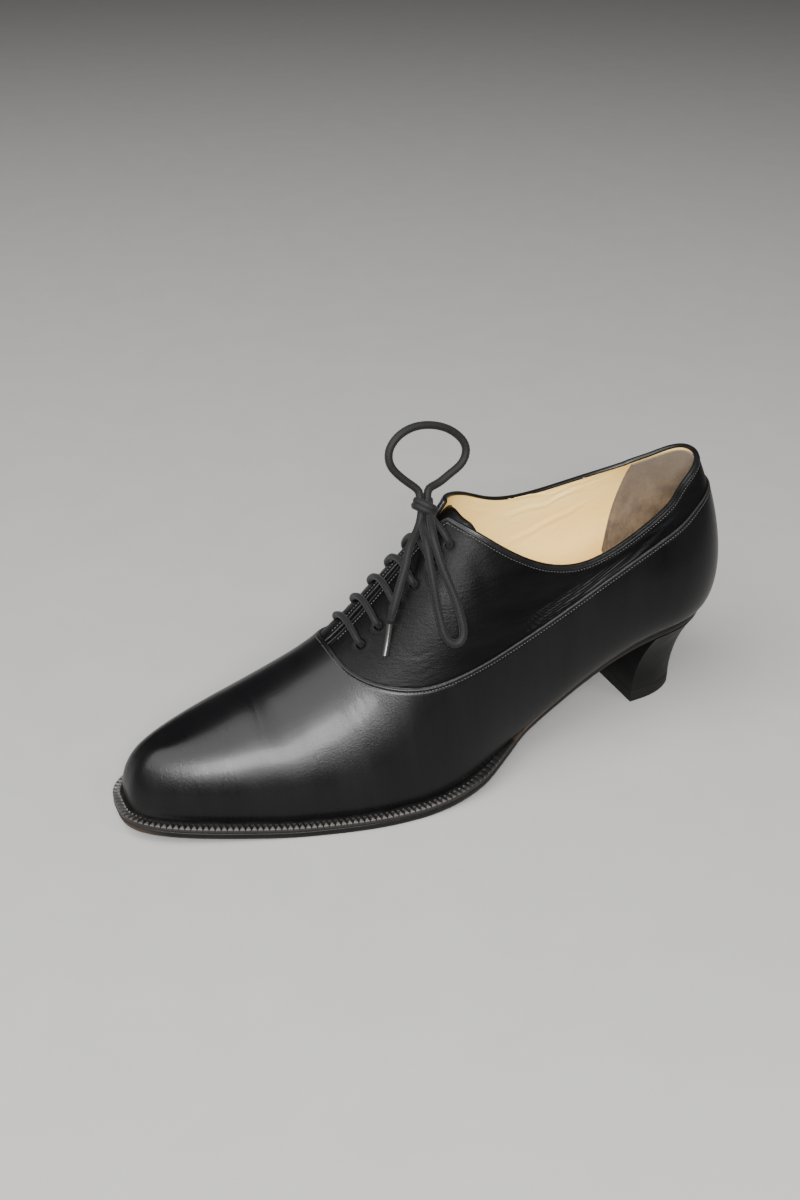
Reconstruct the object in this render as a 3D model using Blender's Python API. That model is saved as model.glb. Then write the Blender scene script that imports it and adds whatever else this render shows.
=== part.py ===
"""Laced oxford with a block heel, for the left foot, as the pieces that a maker puts together.

Places are given in millimetres: x along the shoe from the back of the heel, y across it with the outer side
positive, z up from the floor. MM turns them into metres when a mesh is made. The upper is drawn on the last:
at each station a section runs from the feather line, where upper and sole meet, up to the instep's ridge.
"""
import math
from collections import namedtuple

import bmesh
import bpy
import numpy as np
from mathutils import Vector

MM = 0.001
GAP = 0.3                    # between pieces that meet

# Plan of the last
TOE = 248.6                  # front of the feather line
BACK = 3.0                   # back of the feather line
TOE_ROUND_FROM = 222.0       # where the sides start to turn into the toe
TOE_SQUARENESS = 3.4
HEEL_ROUND_FROM = 31.0       # where the sides start to turn into the back
HEEL_ROUNDNESS = 2.15
HEEL_PIVOT = 29.0            # sections behind this fan out round it
FAN_FROM = 185.0             # sections ahead of this crowd towards the toe pivot
TOE_PIVOT = 229.0
BACK_CREST = 130.0           # height at which the wall behind the heel would close over
BACK_CREST_FALL = 4.0
BULGE_LOW = 0.6              # below 1 puts the fullest place of the wall under mid height

# Upper
WALL = 2.4                   # vamp and foxing, with the lining
STEP = 0.8                   # the vamp's edge stands this much above the quarters
THROAT = 167.2               # where vamp and facings meet on the ridge
SLIT_HALF = 0.7              # half the gap between the facings at the throat
SLIT_HALF_TOP = 1.7          # and at their top
SLIT_OPENING = 3             # above 1 keeps the gap narrow until near the top
FACING_TOP = 119.0
CORNER_OUTER = 0.14          # rounds the outer facing's top corner
CORNER_INNER = 0.05
CORNER_LEAD = 0.05           # ends the rounding below the corner, by angle for each mm
EYELETS = 6
EYELET_FIRST = 158.3         # station of the lowest pair
EYELET_PITCH = 7.18
EYELET_INSET = 11.8          # from the ridge
EYELET_RADIUS = 1.7
PUNCH_LENGTH = 4 * WALL

# Sole and heel
WAIST_SOLE = 3.0             # outsole from the waist back
WELT = 1.7
BALL_HEIGHT = 5.2            # feather line above the floor under the ball
SOLE = BALL_HEIGHT - WELT - 2 * GAP
WELT_FROM = 104.0            # the welt's two ends
WELT_THIN_FROM = 88.0        # the sole's top comes up under the upper from here
WELT_FULL_FROM = 126.0
WELT_UNDER = 2.0             # the welt's width under the upper's wall
SOLE_UNDERCUT = 0.5
HEEL_BREAST = 36.0
PAST_BREAST = 37.0           # gives the breast's corners their direction
HEEL_FOOT_BACK = 10.2
HEEL_FOOT_FRONT = 36.6
HEEL_FOOT_SHARE = 0.55       # of the seat's width
HEEL_HOLLOW = 1.9            # above 1 makes back and sides hollow
HEEL_INSET = 0.3
TOP_PIECE = 5.6

# Inside
INSOLE_RISE = 1.6
INSOLE_CLEAR = 0.5
TONGUE = 1.5
TONGUE_CLEAR = 1.3
TONGUE_TOP = 116.4           # at the middle
TONGUE_FOOT = 173.0
TONGUE_HALF_TOP = 20.0
TONGUE_HALF_FOOT = 14.0
TONGUE_EARS = 24.0           # how far its top edge climbs towards the sides
TONGUE_EAR_TURN = 3
TONGUE_CORNER = 19.0         # how far the top corners drop
TONGUE_CORNER_TURN = 6.5     # higher keeps the drop near the sides
TONGUE_CORNER_REACH = 6      # higher keeps ears and drop near the top

# Lace
LACE = 3.0
LACE_LIFT = 1.1              # the lace's middle above the vamp's level
AGLET = 2.4
STRAND_END = (-1.5, 4.6, -1.6)   # from the knot's middle, on the outer side
STRAND_RISE = 1.2

# Mesh density
BACK_COLUMNS = 24
FRONT_COLUMNS = 16
VAMP_ROWS = 8
QUARTER_ROWS = 6
HEEL_LEVELS = 7
HEEL_COLUMNS = 11
TONGUE_ROWS = 18
TONGUE_COLUMNS = 16
THROAT_COLUMNS = (0.8, 3.0)  # extra columns, this far behind the throat
PUNCH_SIDES = 10
BAR_POINTS = 9
ROUTE_STEP = 5.0
KNOT_SEGMENTS = 12
KNOT_RINGS = 8
GIRTH_SAMPLES = 4001
LINE_ROUNDS = 25
NEAR_RIDGE = 0.05            # stands for the ridge itself, where both sides meet
MERGE = 0.02
SHARP_ANGLE = 35.0

# Sections of the last. Each side's wall closes over at its crest, which is the ridge from the facings forward
Section = namedtuple(
    "Section", "station outer inner ridge_y crest_outer crest_inner wall crown bulge_outer bulge_inner")
SECTIONS = (
    Section(0.0, 27.5, -24.0, 1.5, 106.0, 108.0, 2.10, 2.0, 6.4, 6.4),
    Section(30.0, 28.3, -24.8, 1.5, 106.5, 112.5, 2.10, 2.0, 4.6, 4.8),
    Section(60.0, 29.0, -23.5, 1.0, 106.5, 133.0, 2.00, 2.0, 3.4, 5.0),
    Section(85.0, 31.0, -22.6, 0.5, 110.5, 141.0, 1.80, 2.0, 2.5, 5.0),
    Section(105.0, 34.0, -24.5, 0.0, 112.0, 124.0, 1.60, 2.0, 2.0, 4.0),
    Section(125.0, 39.3, -28.6, -0.5, 98.5, 98.5, 1.45, 2.0, 1.4, 2.4),
    Section(145.0, 41.0, -33.2, -1.2, 77.5, 77.5, 1.40, 2.0, 1.2, 1.6),
    Section(165.0, 39.0, -35.3, -2.2, 59.0, 59.0, 1.45, 2.0, 1.2, 1.4),
    Section(185.0, 33.8, -34.8, -3.2, 47.8, 47.8, 1.60, 2.1, 1.2, 1.2),
    Section(205.0, 27.4, -31.1, -3.6, 40.6, 40.6, 1.75, 2.2, 1.0, 1.0),
    Section(225.0, 20.0, -24.4, -3.0, 34.6, 34.6, 1.90, 2.3, 0.8, 0.8),
    Section(240.0, 14.4, -18.0, -1.8, 30.4, 30.4, 1.90, 2.3, 0.6, 0.6),
    Section(252.0, 11.0, -13.8, -1.5, 27.0, 27.0, 1.90, 2.3, 0.6, 0.6),
)

# Side view of the feather line: heel seat, shank, flat tread under the ball, toe spring
Profile = namedtuple("Profile", "x z")
FEATHER = (
    Profile(0.0, 45.5), Profile(20.0, 44.6), Profile(40.0, 42.0), Profile(55.0, 37.8), Profile(70.0, 31.7),
    Profile(85.0, 24.6), Profile(100.0, 17.4), Profile(112.0, 12.3), Profile(125.0, 8.1), Profile(138.0, 5.9),
    Profile(148.0, BALL_HEIGHT), Profile(188.0, BALL_HEIGHT), Profile(215.0, 6.8), Profile(235.0, 8.6),
    Profile(252.0, 10.8),
)

# Side view of the top edge, on each side
Rim = namedtuple("Rim", "x outer inner")
TOPLINE = (
    Rim(4.0, 109.5, 109.5), Rim(12.0, 105.4, 105.4), Rim(26.0, 97.2, 98.4), Rim(47.0, 87.8, 92.2),
    Rim(70.0, 81.4, 89.6), Rim(90.0, 85.4, 93.2), Rim(105.0, 94.6, 101.2), Rim(116.0, 102.4, 106.0),
    Rim(126.0, 107.5, 111.0),
)

# Side view of the vamp's edge, from the throat round to the back
VAMP_EDGE = (
    Rim(THROAT, 58.6, 58.6), Rim(162.6, 52.8, 53.2), Rim(151.0, 49.8, 50.6), Rim(139.0, 49.5, 50.6),
    Rim(126.0, 51.9, 53.2), Rim(97.0, 59.6, 61.4), Rim(52.5, 77.2, 79.0), Rim(0.0, 97.0, 97.0),
)

# How far the welt and sole stand out past the feather line
Ledge = namedtuple("Ledge", "x width")
LEDGE = (Ledge(0.0, 0.2), Ledge(60.0, 0.0), Ledge(96.0, 0.3), Ledge(108.0, 2.2), Ledge(122.0, 4.0),
         Ledge(140.0, 4.3), Ledge(252.0, 4.3))

# The bow: stations on the outer quarter as side-view places, and free places in the air
OnWall = namedtuple("OnWall", "x z lift")
END_OUTER = (OnWall(131.9, 90.7, 5.0), OnWall(135.2, 86.1, 4.7), OnWall(138.5, 81.3, 4.6),
             OnWall(141.8, 76.3, 4.4), OnWall(144.4, 72.5, 3.5), OnWall(146.2, 69.8, 2.3))
LOOP_DOWN = (OnWall(127.2, 94.3, 5.2), OnWall(129.1, 88.6, 4.5), OnWall(130.5, 82.6, 3.0),
             OnWall(131.4, 75.6, 1.4), OnWall(130.9, 68.2, 1.1), OnWall(128.6, 63.9, 1.1),
             OnWall(125.5, 66.4, 1.1), OnWall(124.4, 71.6, 1.1), OnWall(124.9, 78.2, 1.2),
             OnWall(126.0, 84.9, 1.9), OnWall(126.2, 90.4, 3.2), OnWall(125.2, 95.3, 4.6))
END_INNER = (OnWall(118.8, 101.6, 3.0), OnWall(117.4, 95.5, 1.6), OnWall(117.2, 89.0, 1.2),
             OnWall(118.0, 82.0, 1.1), OnWall(119.4, 75.0, 1.1), OnWall(121.0, 68.4, 1.1),
             OnWall(121.8, 65.0, 1.1))
AGLET_OUTER = (OnWall(147.0, 68.8, 1.9), OnWall(149.5, 64.1, 1.0), OnWall(151.9, 59.3, 0.8))
AGLET_INNER = (OnWall(122.0, 64.2, 0.9), OnWall(123.4, 58.6, 0.8), OnWall(124.6, 53.8, 0.8))
KNOT = (124.8, -4.0, 103.8)
KNOT_SIZE = (10.0, 7.8, 7.6)
LOOP_UP = (
    (126.8, -5.6, 107.3), (130.0, -8.6, 112.6), (133.4, -9.9, 116.7), (135.7, -10.9, 120.8),
    (135.6, -12.0, 124.9), (132.7, -13.0, 128.9), (127.1, -13.7, 131.7), (120.2, -13.8, 132.1),
    (113.4, -13.3, 130.3), (107.2, -12.3, 126.1), (104.4, -11.0, 120.8), (106.1, -9.9, 116.5),
    (111.9, -9.1, 113.3), (118.0, -8.3, 110.9), (122.9, -6.1, 107.6),
)

Finish = namedtuple("Finish", "colour roughness metallic")
CALF = Finish((0.010, 0.010, 0.011, 1), 0.35, 0.0)
LINING = Finish((0.62, 0.45, 0.27, 1), 0.6, 0.0)
SOLE_LEATHER = Finish((0.014, 0.012, 0.011, 1), 0.5, 0.0)
RUBBER = Finish((0.016, 0.016, 0.016, 1), 0.7, 0.0)
WAXED_COTTON = Finish((0.022, 0.022, 0.023, 1), 0.65, 0.0)
GLOSS_TAG = Finish((0.02, 0.02, 0.02, 1), 0.2, 0.0)


def natural_spline(xs, ys):
    """Return the smooth curve y(x) through the points, with free ends."""
    xs, ys = np.asarray(xs, float), np.asarray(ys, float)
    count = len(xs)
    step = np.diff(xs)
    slope = np.diff(ys) / step
    matrix = np.eye(count)
    right = np.zeros(count)
    for i in range(1, count - 1):
        matrix[i, i - 1:i + 2] = step[i - 1], 2 * (step[i - 1] + step[i]), step[i]
        right[i] = 6 * (slope[i] - slope[i - 1])
    bend = np.linalg.solve(matrix, right)

    def curve(x):
        x = np.asarray(x, float)
        i = np.clip(np.searchsorted(xs, x) - 1, 0, count - 2)
        after, before, h = x - xs[i], xs[i + 1] - x, step[i]
        cubic = (bend[i] * before**3 + bend[i + 1] * after**3) / (6 * h)
        return cubic + (ys[i] / h - bend[i] * h / 6) * before + (ys[i + 1] / h - bend[i + 1] * h / 6) * after
    return curve


def steady_curve(xs, ys):
    """Return a smooth curve y(x) through the points that never overshoots, so that flats stay flat."""
    xs, ys = np.asarray(xs, float), np.asarray(ys, float)
    step = np.diff(xs)
    slope = np.diff(ys) / step
    tangent = np.zeros(len(xs))
    tangent[0], tangent[-1] = slope[0], slope[-1]
    for i in range(1, len(xs) - 1):
        if slope[i - 1] * slope[i] > 0:
            near, far = 2 * step[i] + step[i - 1], step[i] + 2 * step[i - 1]
            tangent[i] = (near + far) / (near / slope[i - 1] + far / slope[i])

    def curve(x):
        x = np.asarray(x, float)
        i = np.clip(np.searchsorted(xs, x) - 1, 0, len(xs) - 2)
        t = (x - xs[i]) / step[i]
        ends = (1 + 2 * t) * (1 - t)**2 * ys[i] + t * t * (3 - 2 * t) * ys[i + 1]
        return ends + t * (1 - t)**2 * step[i] * tangent[i] + t * t * (t - 1) * step[i] * tangent[i + 1]
    return curve


def table_curve(rows, field, curve=natural_spline):
    """Return the curve of one column of a table against its first column."""
    return curve([row[0] for row in rows], [getattr(row, field) for row in rows])


def smooth_step(x, low, high):
    """Return 0 below low, 1 above high and a soft rise between them."""
    t = np.clip((np.asarray(x, float) - low) / (high - low), 0, 1)
    return t * t * (3 - 2 * t)


section = {field: table_curve(SECTIONS, field) for field in Section._fields[1:]}
feather_z = table_curve(FEATHER, "z", steady_curve)
ledge = table_curve(LEDGE, "width", steady_curve)


def side_field(side, outer, inner):
    """Return the name of the column for one side of the shoe."""
    return outer if side > 0 else inner


def rounding(x):
    """Return how far the sides have turned in at toe and heel: 1 along the sides, 0 at the two ends."""
    toe = np.clip((x - TOE_ROUND_FROM) / (TOE - TOE_ROUND_FROM), 0, 1)
    heel = np.clip((HEEL_ROUND_FROM - x) / (HEEL_ROUND_FROM - BACK), 0, 1)
    toe_turn = (1 - toe**TOE_SQUARENESS)**(1 / TOE_SQUARENESS)
    heel_turn = (1 - heel**HEEL_ROUNDNESS)**(1 / HEEL_ROUNDNESS)
    return toe_turn * heel_turn


def edge_y(x, side):
    """Return the feather line's y on one side."""
    ridge = section["ridge_y"](x)
    return ridge + (section[side_field(side, "outer", "inner")](x) - ridge) * rounding(x)


def girth_table():
    """Return stations from back to toe and the length of the mean outline up to each."""
    turn = np.linspace(0, math.pi, GIRTH_SAMPLES)
    xs = BACK + (TOE - BACK) * (1 - np.cos(turn)) / 2
    half = (edge_y(xs, 1) - edge_y(xs, -1)) / 2
    return xs, np.concatenate([[0], np.cumsum(np.hypot(np.diff(xs), np.diff(half)))])


GIRTH_X, GIRTH = girth_table()


def girth(x):
    """Return the length of the mean outline from the back to station x."""
    return np.interp(x, GIRTH_X, GIRTH)


def stations(start, end, count):
    """Return count + 1 stations, evenly spaced along the outline."""
    return np.interp(np.linspace(girth(start), girth(end), count + 1), GIRTH, GIRTH_X)


def ridge_point(x, side):
    """Return the place on the ridge that the section at station x climbs to."""
    x = np.asarray(x, float)
    share = np.clip((girth(x) - girth(FAN_FROM)) / (GIRTH[-1] - girth(FAN_FROM)), 0, 1)
    crowding = (GIRTH[-1] - girth(FAN_FROM)) / (TOE_PIVOT - FAN_FROM)
    front = FAN_FROM + (TOE_PIVOT - FAN_FROM) * (1 - (1 - share)**crowding)
    centre = np.where(x > FAN_FROM, front, np.maximum(x, HEEL_PIVOT))
    z = section[side_field(side, "crest_outer", "crest_inner")](centre)
    turned = np.clip((HEEL_PIVOT - x) / (HEEL_PIVOT - BACK), 0, 1)
    z = z + (BACK_CREST - z) * turned**BACK_CREST_FALL
    return np.stack([centre, section["ridge_y"](centre), z], -1)


def last_point(x, angle, side):
    """Return the last's surface: angle 0 is the feather line and a quarter turn is the ridge."""
    x, angle = np.broadcast_arrays(np.asarray(x, float), np.asarray(angle, float))
    foot = np.stack([x, edge_y(x, side), feather_z(x)], -1)
    ridge = ridge_point(x, side)
    rise = np.sin(angle)**(2 / section["wall"](ridge[..., 0]))
    inward = 1 - np.clip(np.cos(angle), 0, 1)**(2 / section["crown"](ridge[..., 0]))
    reach = foot[..., :2] - ridge[..., :2]
    out = reach / np.maximum(np.linalg.norm(reach, axis=-1, keepdims=True), 1e-6)
    bulge = section[side_field(side, "bulge_outer", "bulge_inner")](x) * np.sin(math.pi * rise**BULGE_LOW)
    plan = foot[..., :2] - inward[..., None] * reach + bulge[..., None] * out
    z = foot[..., 2] + rise * (ridge[..., 2] - foot[..., 2])
    return np.concatenate([plan, z[..., None]], -1)


def angle_at_height(x, z, side):
    """Return the angle at which the section at station x reaches height z."""
    ridge = ridge_point(x, side)
    low = feather_z(x)
    rise = np.clip((z - low) / (ridge[..., 2] - low), 0, 1)
    return np.arcsin(rise**(section["wall"](ridge[..., 0]) / 2))


def angle_on_line(x, line, side):
    """Return the angle at which the section at station x meets a line drawn in side view."""
    place = np.asarray(x, float)
    for _ in range(LINE_ROUNDS):
        angle = angle_at_height(x, line(place), side)
        place = (place + last_point(x, angle, side)[..., 0]) / 2
    return angle


def angle_off_ridge(x, distance, side):
    """Return the angle at which the section at station x is a distance to the side of the ridge."""
    half = np.abs(edge_y(x, side) - section["ridge_y"](x))
    share = np.clip(distance / np.maximum(half, distance), 0, 1)
    return np.arccos(share**(section["crown"](x) / 2))


def last_normal(x, angle, side):
    """Return the outward direction of the last's surface, away from the toe's tip and the back."""
    small = 1e-3
    along = last_point(x + small, angle, side) - last_point(x - small, angle, side)
    up = last_point(x, angle + small, side) - last_point(x, np.maximum(angle - small, 0), side)
    normal = np.cross(up, along) * side
    return normal / np.linalg.norm(normal, axis=-1, keepdims=True)


def on_last(x, angle, side, lift):
    """Return a place a distance above the last's surface."""
    x, angle = np.broadcast_arrays(np.asarray(x, float), np.asarray(angle, float))
    return last_point(x, angle, side) + lift * last_normal(x, angle, side)


def topline_angle(x, side):
    """Return the angle of the upper's top edge: facing, rounded corner and topline."""
    rim = table_curve(TOPLINE, side_field(side, "outer", "inner"))
    open_share = np.clip((THROAT - x) / (THROAT - FACING_TOP), 0, 1)
    half_slit = SLIT_HALF + (SLIT_HALF_TOP - SLIT_HALF) * open_share**SLIT_OPENING
    facing = angle_off_ridge(np.maximum(x, HEEL_PIVOT), half_slit, side)
    facing = np.where(x > HEEL_PIVOT, facing, math.pi / 2)
    top = angle_on_line(x, rim, side)
    top = top + CORNER_LEAD * np.maximum(x - FACING_TOP, 0)
    softness = CORNER_OUTER if side > 0 else CORNER_INNER
    return -softness * np.log(np.exp(-facing / softness) + np.exp(-top / softness))


def vamp_edge_angle(x, side):
    """Return the angle of the vamp's edge behind the throat."""
    def spread(place):
        return np.sqrt(np.clip(1 - np.asarray(place, float) / THROAT, 0, 1))
    field = side_field(side, "outer", "inner")
    curve = natural_spline(spread([row.x for row in VAMP_EDGE]), [getattr(row, field) for row in VAMP_EDGE])
    return angle_on_line(x, lambda place: curve(spread(place)), side)


def outline_columns(xs):
    """Return the loop of (station, side) round the shoe: back, outer side, toe, inner side."""
    inside = xs[1:-1]
    loop_x = np.concatenate([[xs[0]], inside, [xs[-1]], inside[::-1]])
    loop_side = np.concatenate([[1], np.ones(len(inside)), [1], -np.ones(len(inside))])
    return loop_x, loop_side


def outline(xs, width):
    """Return the feather loop in plan, moved out by a width at each station."""
    loop_x, loop_side = outline_columns(xs)
    y = np.where(loop_side > 0, edge_y(loop_x, 1), edge_y(loop_x, -1))
    plan = np.stack([loop_x, y], -1)
    tangent = np.roll(plan, -1, axis=0) - np.roll(plan, 1, axis=0)
    normal = np.stack([-tangent[:, 1], tangent[:, 0]], -1)
    normal /= np.linalg.norm(normal, axis=1, keepdims=True)
    return plan + normal * np.broadcast_to(width, loop_x.shape)[:, None]


def sole_top(x):
    """Return the outsole's upper face: under the welt in front and under the upper behind."""
    return feather_z(x) - GAP - (WELT + GAP) * smooth_step(x, WELT_THIN_FROM, WELT_FULL_FROM)


def sole_bottom(x):
    """Return the outsole's lower face, flat on the floor under the ball."""
    waist = feather_z(x) - GAP - WAIST_SOLE
    tread = feather_z(x) - 2 * GAP - WELT - SOLE
    share = smooth_step(x, WELT_THIN_FROM, WELT_FULL_FROM)
    return waist + (tread - waist) * share


class MeshDraft:
    """Collects rows of points and the faces between them, in millimetres."""

    def __init__(self):
        self.points = []
        self.faces = []

    def row(self, points):
        """Add points and return their numbers."""
        first = len(self.points)
        self.points.extend(np.asarray(points, float).reshape(-1, 3))
        return list(range(first, len(self.points)))

    def band(self, low, high, closed=False):
        """Join two rows of the same length by faces."""
        count = len(low)
        for i in range(count if closed else count - 1):
            j = (i + 1) % count
            self.face(low[i], low[j], high[j], high[i])

    def face(self, *corners):
        """Add one face, without repeated corners."""
        kept = [c for i, c in enumerate(corners) if c not in corners[:i]]
        if len(kept) > 2:
            self.faces.append(kept)

    def across(self, loop):
        """Close an outline loop by faces from its outer side to its inner side."""
        half = len(loop) // 2
        for i in range(half):
            self.face(loop[i], loop[i + 1], loop[-i - 1], loop[-i])

    def mesh(self, name):
        """Return a Blender mesh in metres with its faces pointing out."""
        draft = bmesh.new()
        corners = [draft.verts.new(point * MM) for point in self.points]
        for face in self.faces:
            draft.faces.new([corners[i] for i in face])
        bmesh.ops.remove_doubles(draft, verts=draft.verts, dist=MERGE * MM)
        bmesh.ops.recalc_face_normals(draft, faces=draft.faces)
        mesh = bpy.data.meshes.new(name)
        draft.to_mesh(mesh)
        draft.free()
        mesh.shade_smooth()
        mesh.set_sharp_from_angle(angle=math.radians(SHARP_ANGLE))
        return mesh


class Workshop:
    """Holds the collections, the parent empty and the materials."""

    def __init__(self, name):
        self.parts = self.collection(name)
        self.cutters = self.collection(name + "_cutters")
        self.parent = bpy.data.objects.new(name + "_origin", None)
        self.parts.objects.link(self.parent)
        self.materials = {}

    @staticmethod
    def collection(name):
        """Return a new collection in the scene."""
        made = bpy.data.collections.new(name)
        bpy.context.scene.collection.children.link(made)
        return made

    def material(self, name, finish):
        """Return the material of a finish."""
        if name not in self.materials:
            made = bpy.data.materials.new(name)
            made.use_nodes = True
            shader = made.node_tree.nodes["Principled BSDF"]
            shader.inputs["Base Color"].default_value = finish.colour
            shader.inputs["Roughness"].default_value = finish.roughness
            shader.inputs["Metallic"].default_value = finish.metallic
            self.materials[name] = made
        return self.materials[name]

    def add(self, name, data, material, finish):
        """Add one piece of the shoe."""
        piece = bpy.data.objects.new(name, data)
        piece.data.materials.append(self.material(material, finish))
        piece.parent = self.parent
        self.parts.objects.link(piece)
        return piece

    def cutter(self, piece):
        """Move an object to the cutters."""
        for holder in piece.users_collection:
            holder.objects.unlink(piece)
        self.cutters.objects.link(piece)
        piece.parent = self.parent
        piece.hide_render = True
        piece.display_type = "WIRE"

    def tube(self, name, route, diameter, material, finish):
        """Add a round cord along a smooth curve through the route."""
        curve = bpy.data.curves.new(name, "CURVE")
        curve.dimensions = "3D"
        curve.bevel_depth = diameter / 2 * MM
        curve.bevel_resolution = 2
        curve.use_fill_caps = True
        places = smooth_route(np.asarray(route, float), ROUTE_STEP)
        spline = curve.splines.new("POLY")
        spline.points.add(len(places) - 1)
        for point, place in zip(spline.points, places):
            point.co = (*(place * MM), 1)
        return self.add(name, curve, material, finish)


def smooth_route(route, step):
    """Return places about a step apart on a smooth curve through the route."""
    reach = np.concatenate([[0], np.cumsum(np.linalg.norm(np.diff(route, axis=0), axis=1))])
    curves = [natural_spline(reach, route[:, k]) for k in range(3)]
    places = np.linspace(0, reach[-1], max(3, round(reach[-1] / step) + 1))
    return np.stack([curve(places) for curve in curves], -1)


def shoe_stations():
    """Return the stations of the columns: back to throat, closer at the throat, then on to the toe."""
    behind = stations(BACK, THROAT, BACK_COLUMNS)
    close = THROAT - np.array(THROAT_COLUMNS)
    ahead = stations(THROAT, TOE, FRONT_COLUMNS)
    return np.unique(np.concatenate([behind, close, ahead]))


def loop_normals(grid, angle, loop_x, loop_side):
    """Return outward directions on a loop of sections: the last's own, or the grid's at toe and back."""
    along = np.roll(grid, -1, axis=0) - np.roll(grid, 1, axis=0)
    normal = np.cross(np.gradient(grid, axis=1), along)
    straight = (loop_x > HEEL_ROUND_FROM) & (loop_x < TOE_ROUND_FROM)
    for side in (1, -1):
        chosen = straight & (loop_side == side)
        normal[chosen] = last_normal(loop_x[chosen, None], angle[chosen], side)
    return normal / np.maximum(np.linalg.norm(normal, axis=-1, keepdims=True), 1e-9)


def upper_mesh():
    """Return the hollow upper: vamp and foxing, a step in at their edge, quarters with the facing slit."""
    xs = shoe_stations()
    loop_x, loop_side = outline_columns(xs)
    count = len(loop_x)
    toe = len(xs) - 1
    throat = int(np.searchsorted(xs, THROAT))
    ahead = range(throat, count - throat + 1)
    behind = [i % count for i in range(count - throat, count + throat + 1)]

    def each_side(function):
        return np.where(loop_side > 0, function(loop_x, 1), function(loop_x, -1))

    on_vamp = (loop_x >= THROAT - 1e-6)
    seam = np.where(on_vamp, math.pi / 2, each_side(vamp_edge_angle))
    vamp_angle = seam[:, None] * np.linspace(0, 1, VAMP_ROWS + 1)
    top = np.where(on_vamp, seam, each_side(topline_angle))
    share = np.linspace(0, 1, QUARTER_ROWS + 1)
    quarter_angle = seam[:, None] + (top - seam)[:, None] * share

    def surface(angle):
        both = [last_point(loop_x[:, None], angle, side) for side in (1, -1)]
        return np.where((loop_side > 0)[:, None, None], *both)

    vamp = surface(vamp_angle)
    vamp_normal = loop_normals(vamp, vamp_angle, loop_x, loop_side)
    for i in ahead:
        vamp_normal[i, -1] = vamp_normal[i, -2] + vamp_normal[2 * toe - i, -2]
    vamp_normal[:, 0, 2] = 0
    vamp_normal /= np.linalg.norm(vamp_normal, axis=-1, keepdims=True)
    quarter = surface(quarter_angle)
    quarter_normal = loop_normals(quarter, quarter_angle, loop_x, loop_side)
    quarter_normal[:, 0] = vamp_normal[:, -1]
    quarter, quarter_normal = quarter[behind], quarter_normal[behind]

    draft = MeshDraft()
    outside = [draft.row(vamp[:, r]) for r in range(VAMP_ROWS + 1)]
    inside = [draft.row(vamp[:, r] - WALL * vamp_normal[:, r]) for r in range(VAMP_ROWS + 1)]
    for skin in (outside, inside):
        for i in ahead:
            skin[-1][i] = skin[-1][min(i, 2 * toe - i)]
        for low, high in zip(skin, skin[1:]):
            draft.band(low, high, closed=True)
    draft.band(outside[0], inside[0], closed=True)

    quarter_out = [draft.row(quarter[:, r] - STEP * quarter_normal[:, r]) for r in range(QUARTER_ROWS + 1)]
    quarter_in = [[inside[-1][i] for i in behind]]
    quarter_in += [draft.row(quarter[:, r] - WALL * quarter_normal[:, r]) for r in range(1, QUARTER_ROWS + 1)]
    for skin in (quarter_out, quarter_in):
        for row in skin:
            row[0] = row[-1] = skin[0][0]
        for low, high in zip(skin, skin[1:]):
            draft.band(low, high)
    draft.band([outside[-1][i] for i in behind], quarter_out[0])
    draft.band(quarter_out[-1], quarter_in[-1])
    return draft.mesh("upper")


def cut_eyelets(workshop, upper):
    """Punch the eyelets through the facings."""
    for number in range(EYELETS):
        x = EYELET_FIRST - EYELET_PITCH * number
        for side in (1, -1):
            angle = angle_off_ridge(x, EYELET_INSET, side)
            place = on_last(x, angle, side, -WALL / 2)
            direction = last_normal(np.asarray(x), angle, side)
            bpy.ops.mesh.primitive_cylinder_add(
                vertices=PUNCH_SIDES, radius=EYELET_RADIUS * MM, depth=PUNCH_LENGTH * MM)
            punch = bpy.context.object
            punch.name = f"punch_{number + 1}_{side_field(side, 'outer', 'inner')}"
            punch.location = place * MM
            punch.rotation_mode = "QUATERNION"
            punch.rotation_quaternion = Vector(direction).to_track_quat("Z", "X")
            workshop.cutter(punch)
    cut = upper.modifiers.new("eyelets", "BOOLEAN")
    cut.operand_type = "COLLECTION"
    cut.collection = workshop.cutters
    cut.operation = "DIFFERENCE"
    cut.solver = "EXACT"


def plate_mesh(name, xs, width, undercut, top, bottom):
    """Return a plate with the outline of the last, moved out by a width, between two side-view lines."""
    loop_x, _ = outline_columns(xs)
    upper_loop = outline(xs, width(loop_x))
    lower_loop = outline(xs, width(loop_x) - undercut)
    draft = MeshDraft()
    high = draft.row(np.column_stack([upper_loop, top(loop_x)]))
    low = draft.row(np.column_stack([lower_loop, bottom(loop_x)]))
    draft.band(low, high, closed=True)
    draft.across(high)
    draft.across(low)
    return draft.mesh(name)


def welt_mesh(xs):
    """Return the strip between upper and outsole, from waist to waist round the toe."""
    loop_x, _ = outline_columns(xs)
    first = int(np.searchsorted(xs, WELT_FROM))
    kept = slice(first, len(loop_x) - first + 1)
    outer = outline(xs, ledge(loop_x))[kept]
    inner = outline(xs, -WELT_UNDER)[kept]
    top = (feather_z(loop_x) - GAP)[kept]
    bottom = (sole_top(loop_x) + GAP)[kept]
    draft = MeshDraft()
    rows = [draft.row(np.column_stack([plan, z]))
            for plan, z in ((inner, bottom), (outer, bottom), (outer, top), (inner, top))]
    for i in range(4):
        draft.band(rows[i], rows[(i + 1) % 4])
    for end in (0, -1):
        draft.face(*(row[end] for row in rows))
    return draft.mesh("welt")


def heel_outline():
    """Return the heel seat's outline in plan: outer breast corner, round the back, inner one."""
    xs = np.append(stations(BACK, HEEL_BREAST, HEEL_COLUMNS), PAST_BREAST)
    loop = outline(xs, -HEEL_INSET)
    half = len(xs) - 1
    return np.concatenate([loop[half - 1::-1], loop[:half:-1]])


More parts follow.
